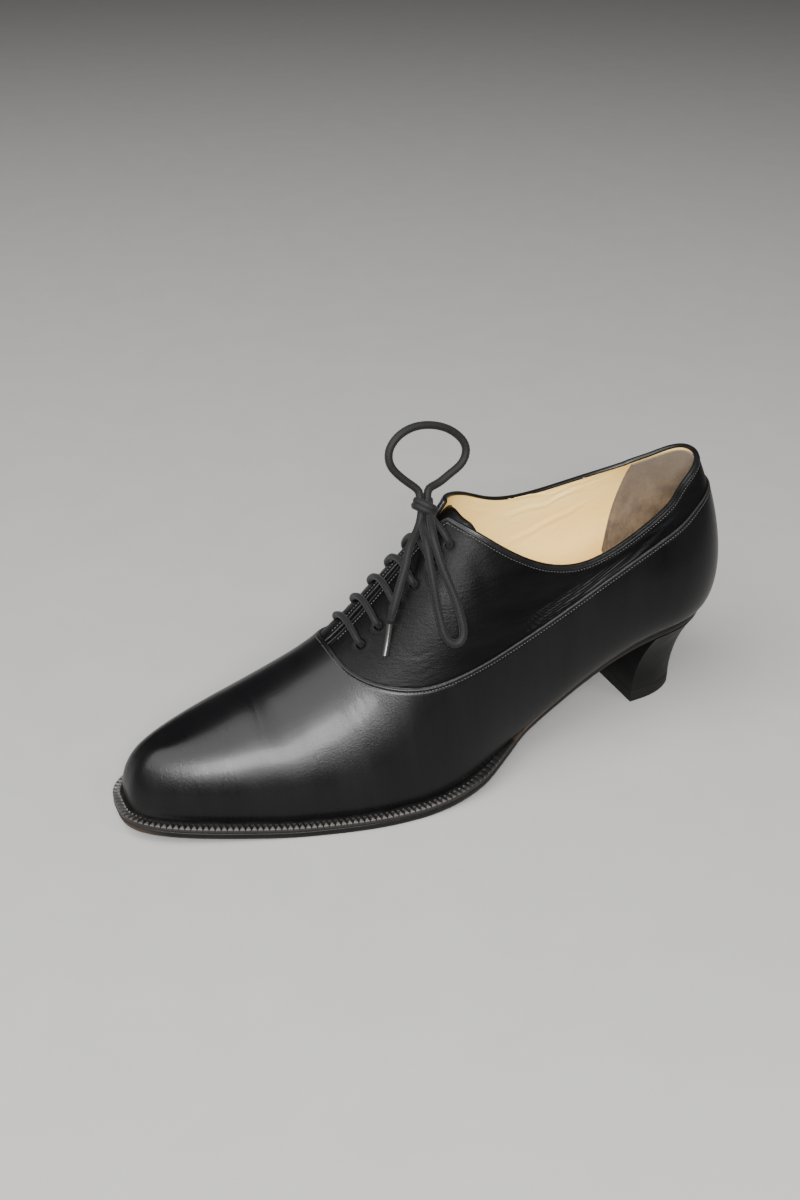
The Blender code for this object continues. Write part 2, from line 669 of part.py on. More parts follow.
def heel_foot(seat):
    """Return the foot's outline: the seat's, shorter and narrower."""
    back, front = seat[:, 0].min(), seat[:, 0].max()
    x = HEEL_FOOT_BACK + (HEEL_FOOT_FRONT - HEEL_FOOT_BACK) * (seat[:, 0] - back) / (front - back)
    middle = section["ridge_y"](0)
    return np.column_stack([x, middle + HEEL_FOOT_SHARE * (seat[:, 1] - middle)])


def close_heel(draft, row):
    """Close a heel level by faces between its outer and inner halves."""
    last = len(row) - 1
    for i in range(len(row) // 2):
        draft.face(row[i], row[i + 1], row[last - i - 1], row[last - i])


def heel_mesh():
    """Return the covered heel, hollow at back and sides, under the outsole's seat."""
    seat = heel_outline()
    foot = heel_foot(seat)
    seat_z = sole_bottom(seat[:, 0]) - GAP
    draft = MeshDraft()
    rows = []
    for level in np.linspace(0, 1, HEEL_LEVELS + 1):
        drawn_in = 1 - (1 - level)**HEEL_HOLLOW
        plan = seat + (foot - seat) * drawn_in
        rows.append(draft.row(np.column_stack([plan, seat_z + (TOP_PIECE + GAP - seat_z) * level])))
    for low, high in zip(rows, rows[1:]):
        draft.band(low, high, closed=True)
    close_heel(draft, rows[0])
    close_heel(draft, rows[-1])
    return draft.mesh("heel_block")


def top_piece_mesh():
    """Return the flat piece that the heel stands on."""
    foot = heel_foot(heel_outline())
    draft = MeshDraft()
    low = draft.row(np.column_stack([foot, np.zeros(len(foot))]))
    high = draft.row(np.column_stack([foot, np.full(len(foot), TOP_PIECE)]))
    draft.band(low, high, closed=True)
    close_heel(draft, low)
    close_heel(draft, high)
    return draft.mesh("top_piece")


def tongue_mesh():
    """Return the leaf behind the facings: one arch, level on both sides, with round top corners."""
    lengths = np.linspace(0, 1, TONGUE_ROWS + 1)
    shares = np.linspace(-1, 1, TONGUE_COLUMNS + 1)
    draft = MeshDraft()
    skins = []
    for depth in (WALL + TONGUE_CLEAR, WALL + TONGUE_CLEAR + TONGUE):
        rows = []
        for length in lengths:
            x_middle = TONGUE_FOOT + (TONGUE_TOP - TONGUE_FOOT) * length
            half = TONGUE_HALF_FOOT + (TONGUE_HALF_TOP - TONGUE_HALF_FOOT) * length
            drop = TONGUE_CORNER * np.abs(shares)**TONGUE_CORNER_TURN
            drop -= TONGUE_EARS * np.abs(shares)**TONGUE_EAR_TURN
            x = x_middle + drop * length**TONGUE_CORNER_REACH
            distance = np.maximum(np.abs(shares) * half, NEAR_RIDGE)
            leaf, inner = (on_last(x, angle_off_ridge(x, distance, side), side, -depth) for side in (1, -1))
            middle = section["ridge_y"](leaf[:, 0])
            leaf[:, 1] = middle + np.where(shares < 0, -1, 1) * (leaf[:, 1] - middle)
            leaf[:, 2] = np.minimum(leaf[:, 2], inner[:, 2])
            rows.append(draft.row(leaf))
        for low, high in zip(rows, rows[1:]):
            draft.band(low, high)
        skins.append(rows)
    border = [rows[0] + [row[-1] for row in rows[1:]] + rows[-1][-2::-1] + [row[0] for row in rows[-2:0:-1]]
              for rows in skins]
    draft.band(*border, closed=True)
    return draft.mesh("tongue")


def wall_route(rows, side):
    """Return the places of a lace that lies on the quarter."""
    x = np.array([row.x for row in rows])
    z = np.array([row.z for row in rows])
    lift = np.array([row.lift for row in rows])
    angle = angle_at_height(x, z, side)
    return last_point(x, angle, side) + lift[:, None] * last_normal(x, angle, side)


def eyelet_place(number, side, lift):
    """Return the place above an eyelet's middle."""
    x = EYELET_FIRST - EYELET_PITCH * number
    return on_last(x, angle_off_ridge(x, EYELET_INSET, side), side, lift)


def build_lace(workshop):
    """Add the bars over the facings and the bow with its knot, loops and ends."""
    cotton = ("waxed_cotton", WAXED_COTTON)
    for number in range(EYELETS - 1):
        x = EYELET_FIRST - EYELET_PITCH * number
        route = []
        for share in np.linspace(-1, 1, BAR_POINTS):
            side = 1 if share >= 0 else -1
            distance = max(abs(share) * EYELET_INSET, NEAR_RIDGE)
            route.append(on_last(x, angle_off_ridge(x, distance, side), side, LACE_LIFT))
        workshop.tube(f"lace_bar_{number + 1}", route, LACE, *cotton)

    bpy.ops.mesh.primitive_uv_sphere_add(segments=KNOT_SEGMENTS, ring_count=KNOT_RINGS, radius=MM / 2)
    knot_mesh = bpy.context.object.data
    bpy.data.objects.remove(bpy.context.object)
    for vertex in knot_mesh.vertices:
        vertex.co = [c * size + place * MM for c, size, place in zip(vertex.co, KNOT_SIZE, KNOT)]
    workshop.add("lace_knot", knot_mesh, *cotton)

    knot = np.array(KNOT)
    for side, word in ((1, "outer"), (-1, "inner")):
        start = eyelet_place(EYELETS - 1, side, LACE_LIFT)
        end = knot + np.array(STRAND_END) * (1, side, 1)
        middle = (start + end) / 2 + (0, 0, STRAND_RISE)
        workshop.tube(f"lace_strand_{word}", [start, middle, end], LACE, *cotton)
    workshop.tube("lace_loop_up", LOOP_UP, LACE, *cotton)
    workshop.tube("lace_loop_down", wall_route(LOOP_DOWN, 1), LACE, *cotton)
    workshop.tube("lace_end_outer", wall_route(END_OUTER, 1), LACE, *cotton)
    workshop.tube("lace_end_inner", wall_route(END_INNER, -1), LACE, *cotton)
    workshop.tube("aglet_outer", wall_route(AGLET_OUTER, 1), AGLET, "lace_tag", GLOSS_TAG)
    workshop.tube("aglet_inner", wall_route(AGLET_INNER, -1), AGLET, "lace_tag", GLOSS_TAG)


def centre_on_floor(workshop, pieces):
    """Put the origin under the middle of the shoe."""
    points = np.array([vertex.co for piece in pieces for vertex in piece.data.vertices])
    middle = (points.min(axis=0) + points.max(axis=0)) / 2
    workshop.parent.location = (-middle[0], -middle[1], 0)


def main():
    """Build the shoe."""
    for old in list(bpy.data.objects):
        bpy.data.objects.remove(old)
    workshop = Workshop("oxford_shoe")
    xs = shoe_stations()
    outsole = plate_mesh("outsole", xs, ledge, SOLE_UNDERCUT, sole_top, sole_bottom)
    insole_width = -(WALL + INSOLE_CLEAR)
    insole = plate_mesh("insole", xs, lambda x: np.full(len(x), insole_width), 0.0,
                        lambda x: feather_z(x) + INSOLE_RISE, lambda x: sole_top(x) + GAP)
    pieces = [
        workshop.add("outsole", outsole, "sole_leather", SOLE_LEATHER),
        workshop.add("welt", welt_mesh(xs), "sole_leather", SOLE_LEATHER),
        workshop.add("heel_block", heel_mesh(), "calf", CALF),
        workshop.add("top_piece", top_piece_mesh(), "rubber", RUBBER),
    ]
    upper = workshop.add("upper", upper_mesh(), "calf", CALF)
    pieces.append(upper)
    cut_eyelets(workshop, upper)
    workshop.add("insole", insole, "lining", LINING)
    workshop.add("tongue", tongue_mesh(), "calf", CALF)
    build_lace(workshop)
    centre_on_floor(workshop, pieces)


main()
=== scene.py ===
"""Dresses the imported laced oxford, a left shoe, and sets up the studio around it.

Lengths are millimetres in the shoe's own frame: x from the back of the heel to the toe, y to the outer
side and z up from the floor. They become metres in the row frame when a mesh is made.
"""
import logging
import math
from dataclasses import dataclass, field
from enum import Enum
from typing import Callable, NamedTuple, Sequence

import bmesh
import bpy
import numpy as np
from mathutils import Matrix, Vector
from mathutils.bvhtree import BVHTree


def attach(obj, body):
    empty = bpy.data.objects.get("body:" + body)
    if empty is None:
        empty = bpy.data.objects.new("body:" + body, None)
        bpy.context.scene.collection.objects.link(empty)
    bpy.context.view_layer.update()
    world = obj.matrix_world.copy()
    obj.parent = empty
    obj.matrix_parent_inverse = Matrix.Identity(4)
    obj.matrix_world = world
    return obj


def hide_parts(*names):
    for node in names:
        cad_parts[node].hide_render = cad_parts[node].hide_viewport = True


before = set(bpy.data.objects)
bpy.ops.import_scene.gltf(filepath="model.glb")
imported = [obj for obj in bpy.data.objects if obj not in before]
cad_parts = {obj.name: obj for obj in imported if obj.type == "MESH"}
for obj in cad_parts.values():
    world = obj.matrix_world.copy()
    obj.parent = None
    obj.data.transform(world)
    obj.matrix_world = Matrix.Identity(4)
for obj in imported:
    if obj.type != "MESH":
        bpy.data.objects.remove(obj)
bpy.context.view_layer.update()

MM = 0.001
ORIGIN = np.array([125.268, 2.784, 0.0])     # the row's origin in the shoe's own frame
LOG = logging.getLogger("oxford")
Array = np.ndarray
Curve = Callable[[Array], Array]


class Side(Enum):
    """The two sides of a left shoe."""

    OUTER = 1
    INNER = -1


class Section(NamedTuple):
    """One section of the last, from the feather line up to the crest."""

    station: float
    outer: float                 # y of the feather line on each side
    inner: float
    ridge_y: float
    crest_outer: float           # height that each side climbs to
    crest_inner: float
    wall: float                  # a larger power stands the wall up more
    crown: float                 # and a larger one here flattens the crown
    bulge_outer: float           # how far each side swells out
    bulge_inner: float


class Profile(NamedTuple):
    """One place of a line in side view, or of a width along the shoe."""

    x: float
    z: float


class Rim(NamedTuple):
    """One place of an edge in side view, with its height on each side."""

    x: float
    outer: float
    inner: float


class OnWall(NamedTuple):
    """A place of the lace beside the quarter, in side view, and how far it stands off the last."""

    x: float
    z: float
    lift: float


class Crease(NamedTuple):
    """A soft fold along a path of (station, share): share is 0 on the ridge, 1 or -1 at the feather lines."""

    path: tuple[tuple[float, float], ...]
    width: float
    depth: float


class Bead(NamedTuple):
    """A soft ridge that follows a line, or a groove where its height is below 0."""

    height: float
    at: float
    width: float

    def over(self, distance: Array) -> Array:
        """Return its height at a distance from the line."""
        return self.height * np.exp(-((distance - self.at) / self.width)**2)


CREASE_LIP = Bead(0.4, 1.9, 0.9)     # beside a crease, in shares of its depth and width


def table(kind: type, *rows: Sequence[float]) -> tuple:
    """Return rows with named columns."""
    return tuple(kind(*row) for row in rows)


SECTIONS = table(
    Section,
    (0.0, 27.5, -24.0, 1.5, 106.0, 108.0, 2.10, 2.0, 6.4, 6.4),
    (30.0, 28.3, -24.8, 1.5, 106.5, 112.5, 2.10, 2.0, 4.6, 4.8),
    (60.0, 29.0, -23.5, 1.0, 106.5, 133.0, 2.00, 2.0, 3.4, 5.0),
    (85.0, 31.0, -22.6, 0.5, 110.5, 141.0, 1.80, 2.0, 2.5, 5.0),
    (105.0, 34.0, -24.5, 0.0, 112.0, 124.0, 1.60, 2.0, 2.0, 4.0),
    (125.0, 39.3, -28.6, -0.5, 98.5, 98.5, 1.45, 2.0, 1.4, 2.4),
    (145.0, 41.0, -33.2, -1.2, 77.5, 77.5, 1.40, 2.0, 1.2, 1.6),
    (165.0, 39.0, -35.3, -2.2, 59.0, 59.0, 1.45, 2.0, 1.2, 1.4),
    (185.0, 33.8, -34.8, -3.2, 47.8, 47.8, 1.60, 2.1, 1.2, 1.2),
    (205.0, 27.4, -31.1, -3.6, 40.6, 40.6, 1.75, 2.2, 1.0, 1.0),
    (225.0, 20.0, -24.4, -3.0, 34.6, 34.6, 1.90, 2.3, 0.8, 0.8),
    (240.0, 14.4, -18.0, -1.8, 30.4, 30.4, 1.90, 2.3, 0.6, 0.6),
    (252.0, 11.0, -13.8, -1.5, 27.0, 27.0, 1.90, 2.3, 0.6, 0.6),
)
FEATHER = table(
    Profile,
    (0.0, 45.5), (20.0, 44.6), (40.0, 42.0), (55.0, 37.8), (70.0, 31.7),
    (85.0, 24.6), (100.0, 17.4), (112.0, 12.3), (125.0, 8.1), (138.0, 5.9),
    (148.0, 5.2), (188.0, 5.2), (215.0, 6.8), (235.0, 8.6), (252.0, 10.8),
)
TOPLINE = table(
    Rim,
    (4.0, 109.5, 109.5), (12.0, 105.4, 105.4), (26.0, 97.2, 98.4), (47.0, 87.8, 92.2),
    (70.0, 81.4, 89.6), (90.0, 85.4, 93.2), (105.0, 94.6, 101.2), (116.0, 102.4, 106.0),
    (126.0, 107.5, 111.0),
)
THROAT = 167.2
AT_THROAT = THROAT - 1e-6
NEAR_THROAT = THROAT - np.array([0.15, 0.4, 0.8, 1.4, 2.2, 3.2])     # stations of close columns
FAR = 99.0                       # stands for a distance that is too large to matter
VAMP_EDGE = table(
    Rim,
    (THROAT, 58.6, 58.6), (162.6, 52.8, 53.2), (151.0, 49.8, 50.6), (139.0, 49.5, 50.6),
    (126.0, 51.9, 53.2), (97.0, 59.6, 61.4), (52.5, 77.2, 79.0), (0.0, 97.0, 97.0),
)
LEDGE = table(
    Profile,
    (0.0, 0.2), (60.0, 0.0), (96.0, 0.3), (108.0, 2.2), (122.0, 4.0), (140.0, 4.3), (252.0, 4.3),
)


def natural_curve(xs: Sequence[float], ys: Sequence[float]) -> Curve:
    """Fit a smooth curve with free ends.

    Args:
        xs: rising places.
        ys: the value at each place.

    Returns:
        A function of place.
    """
    xs, ys = np.asarray(xs, float), np.asarray(ys, float)
    count, step = len(xs), np.diff(xs)
    slope = np.diff(ys) / step
    matrix, right = np.eye(count), np.zeros(count)
    for i in range(1, count - 1):
        matrix[i, i - 1:i + 2] = step[i - 1], 2 * (step[i - 1] + step[i]), step[i]
        right[i] = 6 * (slope[i] - slope[i - 1])
    bend = np.linalg.solve(matrix, right)

    def curve(x: Array) -> Array:
        """Return the curve's value at x."""
        x = np.asarray(x, float)
        i = np.clip(np.searchsorted(xs, x) - 1, 0, count - 2)
        after, before, h = x - xs[i], xs[i + 1] - x, step[i]
        cubic = (bend[i] * before**3 + bend[i + 1] * after**3) / (6 * h)
        return cubic + (ys[i] / h - bend[i] * h / 6) * before + (ys[i + 1] / h - bend[i + 1] * h / 6) * after
    return curve


def steady_curve(xs: Sequence[float], ys: Sequence[float]) -> Curve:
    """Fit a smooth curve that never overshoots, so that flats stay flat.

    Args:
        xs: rising places.
        ys: the value at each place.

    Returns:
        A function of place.
    """
    xs, ys = np.asarray(xs, float), np.asarray(ys, float)
    step = np.diff(xs)
    slope = np.diff(ys) / step
    tangent = np.zeros(len(xs))
    tangent[0], tangent[-1] = slope[0], slope[-1]
    for i in range(1, len(xs) - 1):
        if slope[i - 1] * slope[i] > 0:
            near, far = 2 * step[i] + step[i - 1], step[i] + 2 * step[i - 1]
            tangent[i] = (near + far) / (near / slope[i - 1] + far / slope[i])

    def curve(x: Array) -> Array:
        """Return the curve's value at x."""
        x = np.asarray(x, float)
        i = np.clip(np.searchsorted(xs, x) - 1, 0, len(xs) - 2)
        t = (x - xs[i]) / step[i]
        ends = (1 + 2 * t) * (1 - t)**2 * ys[i] + t * t * (3 - 2 * t) * ys[i + 1]
        return ends + t * (1 - t)**2 * step[i] * tangent[i] + t * t * (t - 1) * step[i] * tangent[i + 1]
    return curve


def smooth_step(x: Array, low: float, high: float) -> Array:
    """Return 0 below low, 1 above high and a soft rise between them."""
    t = np.clip((np.asarray(x, float) - low) / (high - low), 0, 1)
    return t * t * (3 - 2 * t)


def unit(vectors: Array) -> Array:
    """Return vectors of length one."""
    return vectors / np.maximum(np.linalg.norm(vectors, axis=-1, keepdims=True), 1e-9)


def path_length(points: Array) -> Array:
    """Return the length along a path up to each of its points."""
    return np.concatenate([[0.0], np.cumsum(np.linalg.norm(np.diff(points, axis=0), axis=1))])


def smooth_route(route: Array, step: float) -> Array:
    """Return places about a step apart on a smooth curve through a route."""
    reach = path_length(route)
    places = np.linspace(0, reach[-1], max(3, round(reach[-1] / step) + 1))
    return np.stack([natural_curve(reach, route[:, k])(places) for k in range(3)], -1)


def sampled(rows: Array, reach: Array, places: Array) -> Array:
    """Return what lies along a path, one row for each reach, at other places along it."""
    return np.stack([np.interp(places, reach, column) for column in rows.T], -1)


def even_route(points: Array, step: float) -> Array:
    """Return places an even step apart along a dense path."""
    reach = path_length(points)
    return sampled(points, reach, np.linspace(0, reach[-1], max(2, round(reach[-1] / step) + 1)))


@dataclass
class Loop:
    """Columns round the shoe: a station and a side each."""

    x: Array
    side: Array

    def each(self, function: Callable[[Array, int], Array]) -> Array:
        """Evaluate a function of stations and side for every column.

        Args:
            function: takes the stations and a side's sign.

        Returns:
            Its values, taken from each column's own side.
        """
        outer, inner = function(self.x, 1), function(self.x, -1)
        pick = (self.side > 0).reshape(-1, *[1] * (np.ndim(outer) - 1))
        return np.where(pick, outer, inner)


def round_back(xs: Array) -> Loop:
    """Return columns at rising stations on both sides: inner side, back, outer side."""
    side = np.concatenate([-np.ones(len(xs)), np.ones(len(xs) - 1)])
    return Loop(np.concatenate([xs[::-1], xs[1:]]), side)


@dataclass
class Last:
    """The form that the shoe is made on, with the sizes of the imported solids."""

    toe: float = 248.6           # stations of the feather line's two ends
    back: float = 3.0
    toe_round_from: float = 222.0
    toe_squareness: float = 3.4  # powers of the rounding; 2 is an ellipse
    heel_round_from: float = 31.0
    heel_roundness: float = 2.15
    heel_pivot: float = 29.0     # sections behind this fan out from it
    fan_from: float = 185.0      # and those ahead of this from the crest up to the toe's pivot
    toe_pivot: float = 229.0
    toe_fall: float = 0.28       # slope of the crest where the toe's sections fan out
    toe_blend: float = 6.0       # and how far it is carried into them
    back_crest: float = 130.0    # height that the section at the very back climbs to
    back_crest_fall: float = 4.0
    bulge_low: float = 0.6       # below 1 the bulge lies low
    slit_half: float = 0.7       # half the slit between the facings, at the throat and at the top
    slit_half_top: float = 1.7
    slit_opening: float = 3.0
    facing_top: float = 119.0
    corner_outer: float = 0.14   # rounding of the facings' top corners
    corner_inner: float = 0.05
    corner_lead: float = 0.05    # lifts the topline off the facings ahead of the corners
    share_length: float = 60.0   # about as long as a section is from ridge to feather line

    def __post_init__(self) -> None:
        """Fit the curves of the tables."""
        stations = [row.station for row in SECTIONS]
        self.section = {name: natural_curve(stations, [getattr(row, name) for row in SECTIONS])
                        for name in Section._fields[1:]}
        self.feather = steady_curve([row.x for row in FEATHER], [row.z for row in FEATHER])
        self.ledge = steady_curve([row.x for row in LEDGE], [row.z for row in LEDGE])
        turn = np.linspace(0, math.pi, 4001)
        self.girth_x = self.back + (self.toe - self.back) * (1 - np.cos(turn)) / 2
        half = (self.edge_y(self.girth_x, 1) - self.edge_y(self.girth_x, -1)) / 2
        self.girth_s = path_length(np.column_stack([self.girth_x, half]))

    def rounding(self, x: Array) -> Array:
        """Return 1 along the sides, falling to 0 at the toe's tip and the back."""
        toe = np.clip((x - self.toe_round_from) / (self.toe - self.toe_round_from), 0, 1)
        heel = np.clip((self.heel_round_from - x) / (self.heel_round_from - self.back), 0, 1)
        toe_turn = (1 - toe**self.toe_squareness)**(1 / self.toe_squareness)
        return toe_turn * (1 - heel**self.heel_roundness)**(1 / self.heel_roundness)

    def edge_y(self, x: Array, side: int) -> Array:
        """Return the feather line's y on one side."""
        ridge = self.section["ridge_y"](x)
        return ridge + (self.section["outer" if side > 0 else "inner"](x) - ridge) * self.rounding(x)

    def girth(self, x: Array) -> Array:
        """Return the outline's length from the back to station x."""
        return np.interp(x, self.girth_x, self.girth_s)

    def stations(self, start: float, end: float, count: int) -> Array:
        """Return count + 1 stations, evenly spaced along the outline."""
        lengths = np.linspace(self.girth(start), self.girth(end), count + 1)
        return np.interp(lengths, self.girth_s, self.girth_x)

    def ridge(self, x: Array, side: int) -> Array:
        """Return the place on the crest that the section at station x climbs to."""
        x = np.asarray(x, float)
        run = self.girth_s[-1] - self.girth(self.fan_from)
        share = np.clip((self.girth(x) - self.girth(self.fan_from)) / run, 0, 1)
        reach = self.toe_pivot - self.fan_from
        front = self.fan_from + reach * (1 - (1 - share)**(run / reach))
        centre = np.where(x > self.fan_from, front, np.maximum(x, self.heel_pivot))
        z = self.section["crest_outer" if side > 0 else "crest_inner"](centre)
        turned = np.clip((self.heel_pivot - x) / (self.heel_pivot - self.back), 0, 1)
        z = z + (self.back_crest - z) * turned**self.back_crest_fall
        return np.stack([centre, self.section["ridge_y"](centre), z], -1)

    def point(self, x: Array, angle: Array, side: int) -> Array:
        """Return the last's surface: angle 0 is the feather line and a quarter turn is the crest."""
        x, angle = np.broadcast_arrays(np.asarray(x, float), np.asarray(angle, float))
        foot = np.stack([x, self.edge_y(x, side), self.feather(x)], -1)
        ridge = self.ridge(x, side)
        rise = np.sin(angle)**(2 / self.section["wall"](ridge[..., 0]))
        inward = 1 - np.clip(np.cos(angle), 0, 1)**(2 / self.section["crown"](ridge[..., 0]))
        reach = foot[..., :2] - ridge[..., :2]
        bulge = self.section["bulge_outer" if side > 0 else "bulge_inner"](x)
        bulge = bulge * np.sin(math.pi * rise**self.bulge_low)
        plan = foot[..., :2] - inward[..., None] * reach + bulge[..., None] * unit(reach)
        z = foot[..., 2] + rise * (ridge[..., 2] - foot[..., 2])
        away = np.linalg.norm(plan - ridge[..., :2], axis=-1)
        forward = np.clip(unit(reach)[..., 0], 0, 1)
        z = z - self.toe_fall * forward * away * np.exp(-(away / self.toe_blend)**2)
        return np.concatenate([plan, z[..., None]], -1)

    def normal(self, x: Array, angle: Array, side: int) -> Array:
        """Return the outward direction of the surface, away from the toe's tip and the back."""
        small = 1e-3
        x, angle = np.broadcast_arrays(np.asarray(x, float), np.asarray(angle, float))
        along = self.point(x + small, angle, side) - self.point(x - small, angle, side)
        up = self.point(x, angle + small, side) - self.point(x, np.maximum(angle - small, 0), side)
        return unit(np.cross(up, along) * side)

    def off(self, x: Array, angle: Array, side: int, lift: Array) -> Array:
        """Return places a distance off the surface."""
        return self.point(x, angle, side) + np.asarray(lift)[..., None] * self.normal(x, angle, side)

    def angle_at_height(self, x: Array, z: Array, side: int) -> Array:
        """Return the angle at which the section at station x reaches height z."""
        ridge, low = self.ridge(x, side), self.feather(x)
        rise = np.clip((z - low) / (ridge[..., 2] - low), 0, 1)
        return np.arcsin(rise**(self.section["wall"](ridge[..., 0]) / 2))

    def angle_on_line(self, x: Array, line: Curve, side: int) -> Array:
        """Return the angle at which the section at station x meets a line drawn in side view."""
        place = np.asarray(x, float)
        for _ in range(25):
            angle = self.angle_at_height(x, line(place), side)
            place = (place + self.point(x, angle, side)[..., 0]) / 2
        return angle

    def angle_off_ridge(self, x: Array, distance: Array, side: int) -> Array:
        """Return the angle at which the section at station x is a distance to the side of the ridge."""
        half = np.abs(self.edge_y(x, side) - self.section["ridge_y"](x))
        share = np.clip(distance / np.maximum(half, distance), 0, 1)
        return np.arccos(share**(self.section["crown"](x) / 2))

    def beside_ridge(self, x: Array, distance: Array, side: int, lift: Array) -> Array:
        """Return places a distance to the side of the ridge and a lift off the surface."""
        return self.off(x, self.angle_off_ridge(x, distance, side), side, lift)

    def topline_angle(self, x: Array, side: int) -> Array:
        """Return the angle of the upper's top edge: facing, rounded corner and topline."""
        rim = natural_curve([row.x for row in TOPLINE], [row[1 if side > 0 else 2] for row in TOPLINE])
        open_share = np.clip((THROAT - x) / (THROAT - self.facing_top), 0, 1)
        half_slit = self.slit_half + (self.slit_half_top - self.slit_half) * open_share**self.slit_opening
        facing = self.angle_off_ridge(np.maximum(x, self.heel_pivot), half_slit, side)
        facing = np.where(x > self.heel_pivot, facing, math.pi / 2)
        top = self.angle_on_line(x, rim, side)
        top = top + self.corner_lead * np.maximum(x - self.facing_top, 0)
        softness = self.corner_outer if side > 0 else self.corner_inner
        return -softness * np.log(np.exp(-facing / softness) + np.exp(-top / softness))

    def vamp_edge_angle(self, x: Array, side: int) -> Array:
        """Return the angle of the vamp's edge: at the ridge ahead of the throat."""
        def spread(place: Array) -> Array:
            """Return a measure that makes the edge round at the throat."""
            return np.sqrt(np.clip(1 - np.asarray(place, float) / THROAT, 0, 1))
        heights = [row[1 if side > 0 else 2] for row in VAMP_EDGE]
        curve = natural_curve(spread([row.x for row in VAMP_EDGE]), heights)
        angle = self.angle_on_line(x, lambda place: curve(spread(place)), side)
        return np.where(x >= AT_THROAT, math.pi / 2, angle)

    def loop(self, xs: Array) -> Loop:
        """Return the closed loop back, outer side, toe, inner side."""
        inside = xs[1:-1]
        side = np.concatenate([[1], np.ones(len(inside)), [1], -np.ones(len(inside))])
        return Loop(np.concatenate([[xs[0]], inside, [xs[-1]], inside[::-1]]), side)

    def outline(self, loop: Loop, width: Array) -> Array:
        """Return a closed loop of the feather line in plan, moved out by a width."""
        plan = np.stack([loop.x, loop.each(self.edge_y)], -1)
        tangent = np.roll(plan, -1, axis=0) - np.roll(plan, 1, axis=0)
        normal = unit(np.stack([-tangent[:, 1], tangent[:, 0]], -1))
        return plan + normal * np.broadcast_to(width, loop.x.shape)[:, None]

    def surface(self, loop: Loop, angle: Array, closed: bool) -> tuple[Array, Array]:
        """Return the points and outward directions of columns of angles.

        Args:
            loop: the columns.
            angle: a row of angles for each column.
            closed: whether the last column meets the first.

        Returns:
            Points and directions, by column and row.
        """
        points = loop.each(lambda x, side: self.point(x[:, None], angle, side))
        if closed:
            along = np.roll(points, -1, axis=0) - np.roll(points, 1, axis=0)
        else:
            along = np.gradient(points, axis=0)
        normal = unit(np.cross(np.gradient(points, axis=1), along))
        ends = self.heel_round_from, self.toe_round_from
        smooth = loop.each(lambda x, side: self.normal(np.clip(x, *ends)[:, None], angle, side))
        straight = (loop.x > ends[0]) & (loop.x < ends[1])
        normal[straight] = smooth[straight]
        return points, normal

    def rows(self, loop: Loop, low: Array, high: Array, count: int,
             near_top: Sequence[float]) -> tuple[Array, Array]:
        """Place rows by their length along each section, close together near the top.

        Args:
            loop: the columns.
            low: the angle that each column starts from.
            high: the angle that it ends at.
            count: rows below the close ones.
            near_top: distances of the close rows from the top, falling to 0.

        Returns:
            Angles and distances from the top, by column and row.
        """
        dense = low[:, None] + (high - low)[:, None] * np.linspace(0, 1, 241)
        points = loop.each(lambda x, side: self.point(x[:, None], dense, side))
        near = np.asarray(near_top, float)
        angles, distances = [], []
        for column, places in zip(dense, points):
            reach = path_length(places)
            close = near * min(1.0, reach[-1] / (3 * near[0]))
            even = np.linspace(0, reach[-1] - close[0], count, endpoint=False)
            wanted = np.concatenate([even, reach[-1] - close])
            angles.append(np.interp(wanted, reach, column))
            distances.append(reach[-1] - wanted)
        return np.array(angles), np.array(distances)

    def places(self, path: Sequence[tuple[float, float]], step: float) -> Array:
        """Return points on the surface, about a step apart, along a path of (station, share)."""
        rows = np.asarray(path, float)
        reach = path_length(rows * (1, self.share_length))
        where = np.linspace(0, reach[-1], max(24, round(reach[-1] / step)))
        x, share = np.interp(where, reach, rows[:, 0]), np.interp(where, reach, rows[:, 1])
        angle = (1 - np.abs(share)) * math.pi / 2
        return np.where((share >= 0)[:, None], self.point(x, angle, 1), self.point(x, angle, -1))

    def folds(self, points: Array, creases: Sequence[Crease]) -> Array:
        """Return the height of the listed creases: a soft trough between two low lips.

        Args:
            points: places on the surface.
            creases: the folds.

        Returns:
            Height at each place.
        """
        flat = points.reshape(-1, 3)
        height = np.zeros(len(flat))
        for crease in creases:
            line = self.places(crease.path, crease.width / 4)
            reach = 4 * crease.width
            near = np.all((flat > line.min(axis=0) - reach) & (flat < line.max(axis=0) + reach), axis=1)
            if not near.any():
                continue
            gap = np.linalg.norm(flat[near][:, None] - line[None], axis=-1)
            nearest = gap.argmin(axis=1)
            distance = gap[np.arange(len(gap)), nearest] / crease.width
            taper = np.sin(math.pi * (nearest + 0.5) / len(line))**1.5
            height[near] -= crease.depth * taper * (np.exp(-distance**2) - CREASE_LIP.over(distance))
        return height.reshape(points.shape[:-1])


def linear(code: str) -> tuple[float, float, float, float]:
    """Turn an sRGB hex colour into linear red, green, blue and a full alpha."""
    parts = [int(code[i:i + 2], 16) / 255 for i in (1, 3, 5)]
    red, green, blue = (v / 12.92 if v <= 0.04045 else ((v + 0.055) / 1.055)**2.4 for v in parts)
    return red, green, blue, 1.0


def feed(tree: bpy.types.NodeTree, node: bpy.types.Node, inputs: dict) -> None:
    """Give a node's inputs, by name or number, a value or the output that feeds them."""
    for key, value in inputs.items():
        if isinstance(value, bpy.types.NodeSocket):
            tree.links.new(value, node.inputs[key])
        else:
            node.inputs[key].default_value = value


def add_node(tree: bpy.types.NodeTree, kind: str, inputs: dict | None = None,
             **settings: object) -> bpy.types.Node:
    """Add one shader node with its settings and links.

    Args:
        tree: the material's or world's tree.
        kind: the node's type name.
        inputs: for each input, by name or number, a value or the output that feeds it.
        settings: the node's own properties.

    Returns:
        The node.
    """
    node = tree.nodes.new(kind)
    for name, value in settings.items():
        setattr(node, name, value)
    feed(tree, node, inputs or {})
    return node


